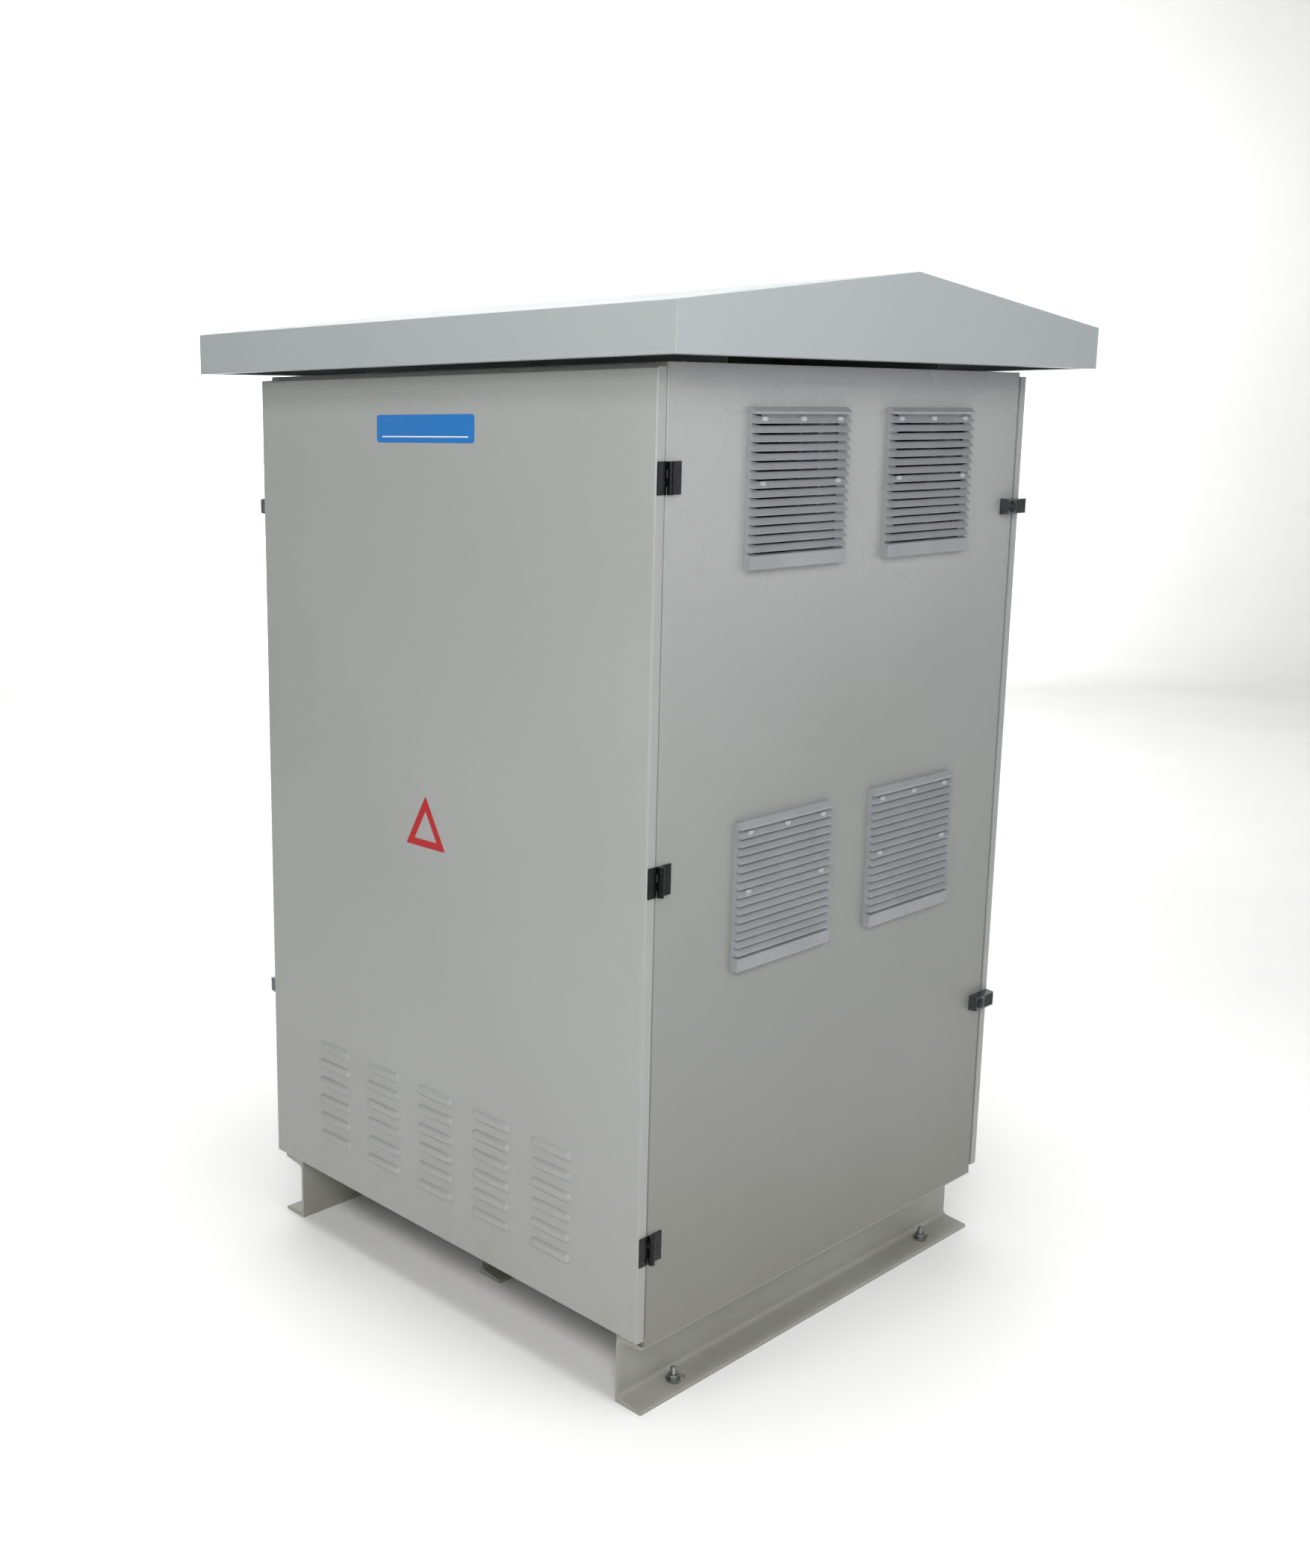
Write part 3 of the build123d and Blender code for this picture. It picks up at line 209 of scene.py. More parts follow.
# painted shade darkens each coat evenly from the foot up to the fade height, darkest at the foot; dust lies in a
# streaky strip above the foot, whose top is band; both mix in the same dark tone
powderLooks = {
    # side panels and frames: light grey, the glossiest of the coats, with road dust at the foot and a strong painted
    # shade darkening the lower panel, standing in for the dark ground it reflects
    "bodyPowderCoat": {"base": "#9fa3a2", "tint": "#999c99", "rough": 0.27, "peelMm": 7.0, "peel": 0.11,
                       "waveMm": 260.0, "wave": 0.35, "dustShadeTone": "#615b4e", "foot": 0.128, "band": 0.30,
                       "bandMost": 0.66, "fade": 1.45, "fadeMost": 0.62},
    # doors: the same grey, a little duller from handling, with painted shade darkening the lower part
    "doorPowderCoat": {"base": "#9fa2a1", "tint": "#999b99", "rough": 0.34, "peelMm": 7.0, "peel": 0.11,
                       "waveMm": 300.0, "wave": 0.25, "dustShadeTone": "#8c877a", "foot": 0.14, "band": 0.30,
                       "bandMost": 0.40, "fade": 0.90, "fadeMost": 0.24},
    # canopy: the same coat painted a cooler grey, standing in for cool light reflected on it, with a little dust and a
    # faint painted shade along its lower edge
    "canopyPowderCoat": {"base": "#a2a8aa", "tint": "#9ca2a3", "rough": 0.30, "peelMm": 8.0, "peel": 0.11,
                         "waveMm": 220.0, "wave": 0.30, "dustShadeTone": "#8f8b80", "foot": 1.73, "band": 1.75,
                         "bandMost": 0.10, "fade": 1.80, "fadeMost": 0.04},
    # brushed-on channel enamel: warmer, with a coarser skin, dust and a little painted shade at the foot
    "channelEnamel": {"base": "#a8aaa3", "tint": "#8b8b82", "rough": 0.42, "peelMm": 9.0, "peel": 0.30,
                      "waveMm": 90.0, "wave": 0.5, "dustShadeTone": "#6f6757", "foot": 0.0, "band": 0.12, "bandMost": 0.18,
                      "fade": 0.20, "fadeMost": 0.08},
}


def powderCoat(name):
    # Polyester powder coat baked on sheet steel. The grains melt into a soft gloss with a fine
    # orange peel, so highlights are broad and slightly broken. Dust gathers low down, and painted
    # shade darkens the coat towards the bottom.
    look = powderLooks[name]
    material, tree, shader, point = startMaterial(name, Roughness=look["rough"], IOR=1.50)
    drift = addNode(tree, "ShaderNodeTexNoise", {"Vector": point, "Scale": 1000 / 420.0, "Detail": 1.0}, "Fac")
    drift = addNode(tree, "ShaderNodeMapRange", {"Value": drift, "From Min": 0.1, "From Max": 0.9}, "Result")
    paint = addNode(tree, "ShaderNodeMix", {"Factor": drift, "A": toLinear(look["base"]), "B": toLinear(look["tint"])},
                    "Result", data_type="RGBA")
    # painted shade: a film that darkens the coat towards the foot and thins out evenly up to the fade height,
    # standing in for the dark ground reflected low down; dust: a streaky, speckled band at the foot
    height = addNode(tree, "ShaderNodeSeparateXYZ", {"Vector": point}, "Z")
    film = addNode(tree, "ShaderNodeMapRange", {"Value": height, "From Min": look["foot"], "From Max": look["fade"],
                                                "To Min": look["fadeMost"], "To Max": 0.0}, "Result")
    low = addNode(tree, "ShaderNodeMapRange", {"Value": height, "From Min": look["foot"], "From Max": look["band"],
                                               "To Min": look["bandMost"], "To Max": 0.0}, "Result")
    upright = addNode(tree, "ShaderNodeMapping", {"Vector": point, "Scale": (1.0, 1.0, 0.35)}, "Vector")
    streak = addNode(tree, "ShaderNodeTexNoise", {"Vector": upright, "Scale": 1000 / 45.0, "Detail": 5.0}, "Fac")
    streak = addNode(tree, "ShaderNodeMapRange", {"Value": streak, "From Min": 0.30, "From Max": 0.70, "To Min": 0.30},
                     "Result")
    # the darker of the dust band and the painted shade sets how much of the dust-and-shade tone is mixed in
    dustAndShade = addNode(tree, "ShaderNodeMath", {0: low, 1: streak}, "Value", operation="MULTIPLY")
    dustAndShade = addNode(tree, "ShaderNodeMath", {0: dustAndShade, 1: film}, "Value", operation="MAXIMUM")
    paint = addNode(tree, "ShaderNodeMix", {"Factor": dustAndShade, "A": paint, "B": toLinear(look["dustShadeTone"])}, "Result",
                    data_type="RGBA")
    tree.links.new(paint, shader.inputs["Base Color"])
    smear = addNode(tree, "ShaderNodeTexNoise", {"Vector": point, "Scale": 1000 / 240.0, "Detail": 2.0}, "Fac")
    smear = addNode(tree, "ShaderNodeMapRange", {"Value": smear, "From Min": 0.3, "From Max": 0.7,
                                                 "To Min": look["rough"] - 0.02,
                                                 "To Max": look["rough"] + 0.03}, "Result")
    smear = addNode(tree, "ShaderNodeMath", {0: dustAndShade, 1: 0.35, 2: smear}, "Value", operation="MULTIPLY_ADD")
    tree.links.new(smear, shader.inputs["Roughness"])
    wave = addNode(tree, "ShaderNodeTexNoise", {"Vector": point, "Scale": 1000 / look["waveMm"], "Detail": 1.0}, "Fac")
    peel = addNode(tree, "ShaderNodeTexNoise", {"Vector": point, "Scale": 1000 / look["peelMm"], "Detail": 2.0}, "Fac")
    bump = addNode(tree, "ShaderNodeBump", {"Strength": look["wave"], "Distance": 0.0006, "Height": wave}, "Normal")
    bump = addNode(tree, "ShaderNodeBump", {"Strength": look["peel"], "Distance": 0.00016, "Height": peel,
                                            "Normal": bump}, "Normal")
    tree.links.new(bump, shader.inputs["Normal"])
    return material


# one row for each of the other finishes: two tones and the size of the patches they form, the roughness between
# two values, and a relief of grainMm blobs, depthMm deep; stretch draws the grain out along the axis that has
# the small number
finishLooks = {
    # zinc electroplate: bright grey metal with faint cloudy patches of dulling
    "zincPlatedSteel": {"tones": ("#9d9f9e", "#8b8d8b"), "metal": 1.0, "patchMm": 22.0, "rough": (0.34, 0.46),
                        "grainMm": 3.0, "depthMm": 0.06, "relief": 0.12},
    # dark nickel over a turned barrel: deep grey metal, nearly clean
    "darkNickelPlate": {"tones": ("#35363a", "#232427"), "metal": 1.0, "patchMm": 9.0, "rough": (0.22, 0.38),
                        "grainMm": 1.2, "depthMm": 0.05, "relief": 0.15},
    # turned steel: bright metal with fine tool lines along the bar
    "turnedSteel": {"tones": ("#8d8f90", "#717374"), "metal": 1.0, "patchMm": 6.0, "rough": (0.19, 0.35),
                    "grainMm": 1.8, "depthMm": 0.10, "relief": 0.2, "stretch": (1.0, 1.0, 0.06)},
    # black chrome over a zinc casting: mirror bright but deep grey, a little wavy from casting
    "blackChromeCasting": {"tones": ("#6d6e72", "#56575b"), "metal": 1.0, "patchMm": 10.0, "rough": (0.07, 0.16),
                           "grainMm": 8.0, "depthMm": 0.20, "relief": 0.25},
    # black e-coat on die-cast zinc: near black, satin, with rubbed lighter grazes
    "blackCoatedZinc": {"tones": ("#050506", "#0d0e10"), "ior": 1.33, "patchMm": 5.0, "rough": (0.24, 0.38),
                        "grainMm": 1.2, "depthMm": 0.15, "relief": 0.3},
    # closed-cell EPDM foam: black, dry and matt, with small open cells at the skin
    "closedCellFoam": {"tones": ("#0c0c0c", "#232425"), "patchMm": 1.6, "rough": (0.80, 0.92), "grainMm": 1.6,
                       "depthMm": 0.40, "relief": 0.6, "kind": "ShaderNodeTexVoronoi", "read": "Distance"},
    # bonded polyester mat: white crossed fibres, matt and fluffy
    "filterFibreMat": {"tones": ("#dcdedb", "#8f9190"), "patchMm": 2.2, "rough": (0.88, 0.98), "grainMm": 2.2,
                       "depthMm": 0.80, "relief": 0.8, "stretch": (1.0, 0.3, 1.0)},
    # moulded ABS, sprayed light grey: even colour, spark-eroded grain, low sheen
    "greyAbsGrille": {"tones": ("#94989b", "#8d9194"), "patchMm": 70.0, "rough": (0.38, 0.52), "grainMm": 1.4,
                      "depthMm": 0.12, "relief": 0.25},
    # the same moulding left unsprayed: paler, a little glossier
    "paleAbsClip": {"tones": ("#adb2b5", "#a1a6a9"), "patchMm": 8.0, "rough": (0.30, 0.42), "grainMm": 1.0,
                    "depthMm": 0.08, "relief": 0.2},
    # moulded nylon: black, slightly waxy
    "blackNylon": {"tones": ("#161617", "#101011"), "patchMm": 70.0, "rough": (0.39, 0.53), "grainMm": 1.4,
                   "depthMm": 0.12, "relief": 0.25},
    # thermoset case of switchgear: charcoal, matt
    "darkSwitchgearCase": {"tones": ("#2b2d30", "#252729"), "patchMm": 70.0, "rough": (0.44, 0.58), "grainMm": 1.4,
                           "depthMm": 0.12, "relief": 0.25},
    # polished black lever
    "blackToggle": {"tones": ("#0a0a0b", "#070708"), "ior": 1.40, "patchMm": 30.0, "rough": (0.19, 0.33),
                    "grainMm": 1.4, "depthMm": 0.12, "relief": 0.1},
    # melamine terminal bodies: warm grey, matt
    "greyThermoset": {"tones": ("#77776f", "#6c6c65"), "patchMm": 50.0, "rough": (0.44, 0.58), "grainMm": 1.4,
                      "depthMm": 0.12, "relief": 0.25},
    # die-cast fan frame, painted black: coarse skin, low sheen
    "blackPaintedCasting": {"tones": ("#1b1c1e", "#151617"), "patchMm": 60.0, "rough": (0.42, 0.56), "grainMm": 2.5,
                            "depthMm": 0.20, "relief": 0.5},
    # stacked silicon-steel sheets under varnish: fine lines along the stack, drawn 3 mm apart so that they show
    "varnishedSiliconSteel": {"tones": ("#4b4f55", "#2c2f33"), "metal": 0.7, "patchMm": 40.0, "rough": (0.38, 0.52),
                              "grainMm": 1000.0 / 104.7, "depthMm": 0.30, "relief": 0.4, "kind": "ShaderNodeTexWave",
                              "settings": {"bands_direction": "Y"}},
    # aramid paper dipped in amber varnish: warm and glossy, with lap lines round the coil
    "amberVarnishedPaper": {"tones": ("#b08a4c", "#7c5426"), "patchMm": 16.0, "rough": (0.25, 0.38), "grainMm": 16.0,
                            "depthMm": 0.50, "relief": 0.3, "stretch": (0.3, 0.3, 1.0)},
    # enamel on rolled steel clamps: blue, soft gloss, a little uneven
    "blueEnamelClamp": {"tones": ("#2b4a6b", "#22405f"), "patchMm": 40.0, "rough": (0.32, 0.48), "grainMm": 6.0,
                        "depthMm": 0.15, "relief": 0.3},
    # extruded aluminium: pale metal with upright die lines
    "extrudedAluminium": {"tones": ("#b4b7ba", "#a0a3a6"), "metal": 1.0, "patchMm": 12.0, "rough": (0.24, 0.40),
                          "grainMm": 1.8, "depthMm": 0.10, "relief": 0.2, "stretch": (1.0, 1.0, 0.06)},
    # drawn aluminium can: pale metal with lines along its axis
    "drawnAluminiumCan": {"tones": ("#a9acb0", "#94979b"), "metal": 1.0, "patchMm": 12.0, "rough": (0.22, 0.38),
                          "grainMm": 1.8, "depthMm": 0.10, "relief": 0.2, "stretch": (1.0, 0.06, 1.0)},
    # bare rolled copper: warm metal, brown where it has dulled
    "bareCopper": {"tones": ("#b87350", "#8a553a"), "metal": 1.0, "patchMm": 18.0, "rough": (0.24, 0.42),
                   "grainMm": 1.8, "depthMm": 0.10, "relief": 0.2, "stretch": (0.06, 1.0, 1.0)},
    # solder mask over copper tracks: a glossy green coat with lighter lanes
    "greenSolderMask": {"tones": ("#0d5a2c", "#2f8a55"), "patchMm": 12.0, "rough": (0.18, 0.32),
                        "grainMm": 1000.0 / 60.0, "depthMm": 0.06, "relief": 0.2, "kind": "ShaderNodeTexBrick",
                        "turn": (math.radians(90), 0.0, 0.0), "more": {"Mortar Size": 0.03}},
    # screen-printed ink on vinyl film: saturated colour with a faint skin of gloss
    "blueScreenInk": {"tones": ("#0f72bd", "#0d6ab2"), "patchMm": 3.0, "rough": (0.26, 0.36), "grainMm": 6.0,
                      "depthMm": 0.10, "relief": 0.15},
    # the same ink in white, for the rule: soft white with the same skin
    "whiteScreenInk": {"tones": ("#e6e8ea", "#dadcde"), "patchMm": 3.0, "rough": (0.26, 0.36), "grainMm": 6.0,
                       "depthMm": 0.10, "relief": 0.15},
    # the same ink in signal red, for the triangle
    "redScreenInk": {"tones": ("#b2161e", "#a3131a"), "patchMm": 3.0, "rough": (0.26, 0.36), "grainMm": 6.0,
                     "depthMm": 0.10, "relief": 0.15},
    # painted studio floor: matt, nearly white, a little uneven
    "paleStudioFloor": {"tones": ("#f6f6f5", "#f2f2f1"), "patchMm": 900.0, "rough": (0.60, 0.70), "grainMm": 20.0,
                        "depthMm": 0.20, "relief": 0.05},
}


def makeFinish(name):
    # the grain gives the relief; its own tone shows where patch and grain sizes match, else a cloud of patches does
    look = finishLooks[name]
    low, high = look["rough"]
    tones = [toLinear(tone) for tone in look["tones"]]
    material, tree, shader, point = startMaterial(name, Metallic=look.get("metal", 0.0), Roughness=(low + high) / 2,
                                                 IOR=look.get("ior", 1.50))
    laid = addNode(tree, "ShaderNodeMapping", {"Vector": point, "Scale": look.get("stretch", (1.0, 1.0, 1.0)),
                                               "Rotation": look.get("turn", (0.0, 0.0, 0.0))}, "Vector")
    grain = addNode(tree, look.get("kind", "ShaderNodeTexNoise"), {"Vector": laid, "Scale": 1000.0 / look["grainMm"],
                    **look.get("more", {})}, look.get("read", "Fac"), **look.get("settings", {}))
    patch = addNode(tree, "ShaderNodeTexNoise", {"Vector": laid, "Scale": 1000.0 / look["patchMm"], "Detail": 4.0},
                    "Fac")
    cloud = addNode(tree, "ShaderNodeMapRange", {"Value": patch, "From Min": 0.3, "From Max": 0.7}, "Result")
    follow = grain if "kind" in look else cloud
    tone = addNode(tree, "ShaderNodeMix", {"Factor": follow, "A": tones[0], "B": tones[1]}, "Result", data_type="RGBA")
    tree.links.new(tone, shader.inputs["Base Color"])
    rough = addNode(tree, "ShaderNodeMapRange", {"Value": patch, "From Min": 0.3, "From Max": 0.7, "To Min": low,
                                                 "To Max": high}, "Result")
    tree.links.new(rough, shader.inputs["Roughness"])
    bump = addNode(tree, "ShaderNodeBump", {"Strength": look["relief"], "Distance": look["depthMm"] / 1000.0,
                                            "Height": grain}, "Normal")
    tree.links.new(bump, shader.inputs["Normal"])
    return material


finish = {name: powderCoat(name) for name in powderLooks}
finish.update({name: makeFinish(name) for name in finishLooks})
print("finishes made:", len(bpy.data.materials))


# carried-over metalwork, with its edges eased

easedNodes = {
    "canopy": ("canopyPowderCoat", "canopy_paint", 0.0022, 3),
    "channel_right": ("channelEnamel", "channel_paint", 0.0010, 2),
    "channel_left": ("channelEnamel", "channel_paint", 0.0010, 2),
    "channel_middle": ("channelEnamel", "channel_paint", 0.0010, 2),
    "side_panel_right": ("bodyPowderCoat", "body_paint", 0.0005, 2),
    "side_panel_left": ("bodyPowderCoat", "body_paint", 0.0005, 2),
    "front_door": ("doorPowderCoat", "door_paint", 0.0, 2),
    "rear_door": ("doorPowderCoat", "door_paint", 0.0, 2),
    "front_frame": ("bodyPowderCoat", "body_paint", 0.0005, 2),
    "rear_frame": ("bodyPowderCoat", "body_paint", 0.0005, 2),
    "roof_pan": ("bodyPowderCoat", "body_paint", 0.0005, 2),
    "floor_pan": ("bodyPowderCoat", "body_paint", 0.0005, 2),
    "canopy_rails": ("bodyPowderCoat", "body_paint", 0.0006, 2),
    "front_hinge_door_leaves": ("blackCoatedZinc", "black_zinc", 0.0005, 2),
    "rear_hinge_door_leaves": ("blackCoatedZinc", "black_zinc", 0.0005, 2),
    "hinge_body_leaves": ("blackCoatedZinc", "black_zinc", 0.0005, 2),
    "front_lock_housings": ("blackChromeCasting", "lock_chrome", 0.0012, 3),
    "rear_lock_housings": ("blackChromeCasting", "lock_chrome", 0.0012, 3),
    "right_grilles": ("greyAbsGrille", "vent_plastic", 0.0004, 2),
    "left_grilles": ("greyAbsGrille", "vent_plastic", 0.0004, 2),
    "anchor_washers": ("zincPlatedSteel", "galvanised_steel", 0.0004, 2),
    "front_gasket": ("closedCellFoam", "gasket_foam", 0.0020, 3),
    "rear_gasket": ("closedCellFoam", "gasket_foam", 0.0020, 3),
    "input_breaker": ("darkSwitchgearCase", "switchgear_plastic", 0.0012, 2),
    "contactor": ("darkSwitchgearCase", "switchgear_plastic", 0.0012, 2),
    "breaker_toggle": ("blackToggle", "toggle_plastic", 0.0015, 3),
    "terminal_block": ("greyThermoset", "terminal_plastic", 0.0008, 2),
    "transformer_clamps": ("blueEnamelClamp", "clamp_paint", 0.0015, 2),
    "transformer_feet": ("blueEnamelClamp", "clamp_paint", 0.0015, 2),
    "heat_sink": ("extrudedAluminium", "sink_aluminium", 0.0004, 1),
    "dc_capacitors": ("drawnAluminiumCan", "capacitor_can", 0.0020, 3),
    "power_modules": ("blackNylon", "module_plastic", 0.0015, 2),
    "equipment_posts": ("zincPlatedSteel", "galvanised_steel", 0.0010, 2),
    "earth_bar": ("bareCopper", "copper_bar", 0.0006, 2),
}
for nodeName, (material, slotName, width, segments) in easedNodes.items():
    eased(nodeName, material, width, segments)

keptNodes = {
    "gland_plate": "zincPlatedSteel", "cable_glands": "blackNylon", "rail_bolts": "zincPlatedSteel",
    "hinge_pins": "turnedSteel", "vent_housings": "greyAbsGrille", "filter_mats": "filterFibreMat",
    "fan_frames": "blackPaintedCasting", "mounting_plate": "zincPlatedSteel", "control_board": "greenSolderMask",
    "transformer_core": "varnishedSiliconSteel", "transformer_coils": "amberVarnishedPaper",
    "anchor_bolts": "zincPlatedSteel", "anchor_nuts": "zincPlatedSteel",
}
for place in ("front", "rear"):
    for level in ("lower", "upper"):
        keptNodes[f"{place}_{level}_lock_barrel"] = "darkNickelPlate"
        keptNodes[f"{place}_{level}_lock_bolt"] = "turnedSteel"
for side in ("right", "left"):
    for place in ("front", "rear"):
        keptNodes[f"{side}_{place}_fan_rotor"] = "blackNylon"
for nodeName, material in keptNodes.items():
    mesh = nodes[nodeName].data
    mesh.materials.clear()
    mesh.materials.append(finish[material])
print("CAD nodes finished:", len(easedNodes), "eased,", len(keptNodes), "kept")


# anchor studs with their threads, and hexagon nuts

anchorLook = {"pitch": 0.0015, "rowsPerTurn": 8, "threadDepth": 0.0009, "grooveShare": 0.9, "radius": 0.0050,
              "tipLength": 0.0012, "tipDepth": 0.0009, "steps": 36,
              "flats": 0.017, "bore": 0.0047, "chamfer": 0.0016, "coneShare": 0.97, "coneSlope": 1.73, "nutSteps": 72}


def threadedStud(centre, low, high):
    # radius = r - depth * |saw(2 * (h / pitch - angle / turn))|: a helix cut into a round bar
    rows = int((high - low) / anchorLook["pitch"] * anchorLook["rowsPerTurn"])
    heights = np.linspace(low, high, rows)
    tip = np.clip((high - heights) / anchorLook["tipLength"], 0.0, 1.0)

    def radiusAt(radius, height, angle):
        phase = (height / anchorLook["pitch"] - angle / (2 * np.pi)) % 1.0
        groove = 1.0 - np.abs(2 * phase - 1.0)
        cut = anchorLook["threadDepth"] * groove * anchorLook["grooveShare"]
        return radius - cut - anchorLook["tipDepth"] * (1.0 - tip[:, None])

    profile = np.stack([np.full(rows, anchorLook["radius"]), heights], 1)
    return turnedSheet(profile, centre, (0, 0, 1), anchorLook["steps"], radiusAt)


def hexNut(centre, low, high):
    # radius = the smaller of the hexagon's and a 30 degree cone's, so the corners are turned off at both faces
    chamfer = anchorLook["chamfer"]
    heights = np.concatenate([[low], np.linspace(low, low + chamfer, 5), [(low + high) / 2],
                              np.linspace(high - chamfer, high, 5), [high]])
    half = anchorLook["flats"] / 2
    edge = np.minimum(heights - low, high - heights)
    cone = half * anchorLook["coneShare"] + edge * anchorLook["coneSlope"]
    inner = np.zeros(len(heights), bool)
    inner[[0, -1]] = True

    def radiusAt(radius, height, angle):
        turn = (angle % (np.pi / 3)) - np.pi / 6
        flat = half / np.cos(turn) + 0 * height
        outer = np.minimum(flat, cone[:, None])
        return np.where(inner[:, None], anchorLook["bore"], outer)

    profile = np.stack([np.full(len(heights), half), heights], 1)
    points, wrapRows, wrapColumns, _, _ = turnedSheet(profile, centre, (0, 0, 1), anchorLook["nutSteps"],
                                                      radiusAt)
    return points, wrapRows, wrapColumns, False, False


def solidBoxes(nodeName):
    # the low and high corner of each separate solid of a CAD node, found from its loose parts
    mesh = nodes[nodeName].data
    work = bmesh.new()
    work.from_mesh(mesh)
    bmesh.ops.remove_doubles(work, verts=work.verts, dist=1e-6)
    seen, groups = set(), []
    for start in work.verts:
        if start.index in seen:
            continue
        stack, group = [start], []
        seen.add(start.index)
        while stack:
            vert = stack.pop()
            group.append(vert.co.copy())
            for edge in vert.link_edges:
                other = edge.other_vert(vert)
                if other.index not in seen:
                    seen.add(other.index)
                    stack.append(other)
        corner = np.array([list(co) for co in group])
        groups.append((corner.min(0), corner.max(0)))
    work.free()
    return groups


studs = [threadedStud(((lo[0] + hi[0]) / 2, (lo[1] + hi[1]) / 2, 0.0), lo[2], hi[2])
         for lo, hi in solidBoxes("anchor_bolts")]
piece = linkPiece("anchor_stud_threads", surfaceMesh("anchor_stud_threads", studs), "zincPlatedSteel", "cabinet")
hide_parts("anchor_bolts")
nuts = [hexNut(((lo[0] + hi[0]) / 2, (lo[1] + hi[1]) / 2, 0.0), lo[2], hi[2])
        for lo, hi in solidBoxes("anchor_nuts")]
nutMesh = surfaceMesh("anchor_hex_nuts", nuts)
hardEdges(nutMesh, 25)
piece = linkPiece("anchor_hex_nuts", nutMesh, "zincPlatedSteel", "cabinet", smooth=False)
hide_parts("anchor_nuts")
print("anchors made:", len(studs), "studs,", len(nuts), "nuts")


# printed plates on the front door

labelLook = {"centre": (-0.0245, 1.6285), "size": (0.254, 0.048), "corner": 0.006, "film": 0.0004,
             "line": (0.224, 0.0022, -0.0135), "lineCorner": 0.0008, "lineFilm": 0.00015,
             "triangle": (-0.0243, 0.887, 0.1055, 0.095), "triangleFilm": 0.0003, "stroke": 0.0135,
             "outerCorner": 0.002, "innerCorner": 0.001, "louvreProud": 0.006}
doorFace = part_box("front_door")[0].y + labelLook["louvreProud"]   # the skin lies behind the louvres' lips


def roundedOutline(width, height, corner, steps=12):
    # a rectangle's outline with a quarter circle at each corner, as an N x 2 array
    quarter = np.linspace(0, np.pi / 2, steps)
    centres = [(1, 1, 0), (-1, 1, 1), (-1, -1, 2), (1, -1, 3)]
    rings = []
    for sx, sz, turn in centres:
        angle = quarter + turn * np.pi / 2
        rings.append(np.stack([sx * (width / 2 - corner) + corner * np.cos(angle),
                               sz * (height / 2 - corner) + corner * np.sin(angle)], 1))
    return np.concatenate(rings)


def triangleOutline(base, height, corner, steps=8):
    # three arcs joined by straight sides, with the point upwards
    half = base / 2
    lean = math.atan2(height, half)
    inner = [(half - corner / math.tan(lean / 2), corner), (0.0, height - corner / math.cos(lean)),
             (-half + corner / math.tan(lean / 2), corner)]
    starts = [(-np.pi / 2, np.pi / 2 - lean), (np.pi / 2 - lean, np.pi / 2 + lean), (np.pi / 2 + lean, 3 * np.pi / 2)]
    return np.concatenate([np.stack([x + corner * np.cos(np.linspace(a, b, steps)),
                                     z + corner * np.sin(np.linspace(a, b, steps))], 1)
                           for (x, z), (a, b) in zip(inner, starts)])


def filmSheet(outline, centre, back, thick, hole=None):
    # a thin slab: the outline swept from back to front, closed by a fan, or by a band when it has a hole
    rim = [(outline, back), (outline, back - thick)]
    if hole is not None:
        rim += [(hole, back - thick), (hole, back), (outline, back)]
    rows = [np.stack([centre[0] + ring[:, 0], np.full(len(ring), y), centre[1] + ring[:, 1]], 1) for ring, y in rim]
    return np.stack(rows), False, True, hole is None, hole is None


plateOut = roundedOutline(*labelLook["size"], labelLook["corner"])
sheets = [filmSheet(plateOut, labelLook["centre"], doorFace, labelLook["film"])]
linkPiece("blank_name_plate", surfaceMesh("blank_name_plate", sheets), "blueScreenInk", "front_door_leaf",
          smooth=False)
inkFace = doorFace - labelLook["film"]
lineWidth, lineHeight, lineDrop = labelLook["line"]
sheets = [filmSheet(roundedOutline(lineWidth, lineHeight, labelLook["lineCorner"]),
                    (labelLook["centre"][0], labelLook["centre"][1] + lineDrop), inkFace, labelLook["lineFilm"])]
linkPiece("name_plate_rule", surfaceMesh("name_plate_rule", sheets), "whiteScreenInk", "front_door_leaf",
          smooth=False)
tx, tz, tBase, tHeight = labelLook["triangle"]
stroke = labelLook["stroke"]
outer = triangleOutline(tBase, tHeight, labelLook["outerCorner"])
shrink = stroke * (1 + 1 / math.cos(math.atan2(tHeight, tBase / 2)))
innerHeight = tHeight - shrink
innerTri = triangleOutline(tBase * innerHeight / tHeight, innerHeight, labelLook["innerCorner"])
sheets = [filmSheet(outer, (tx, tz), doorFace, labelLook["triangleFilm"], innerTri + np.array([0.0, stroke]))]
linkPiece("plain_red_triangle", surfaceMesh("plain_red_triangle", sheets), "redScreenInk", "front_door_leaf",
          smooth=False)
print("door plates made")


# lock faces

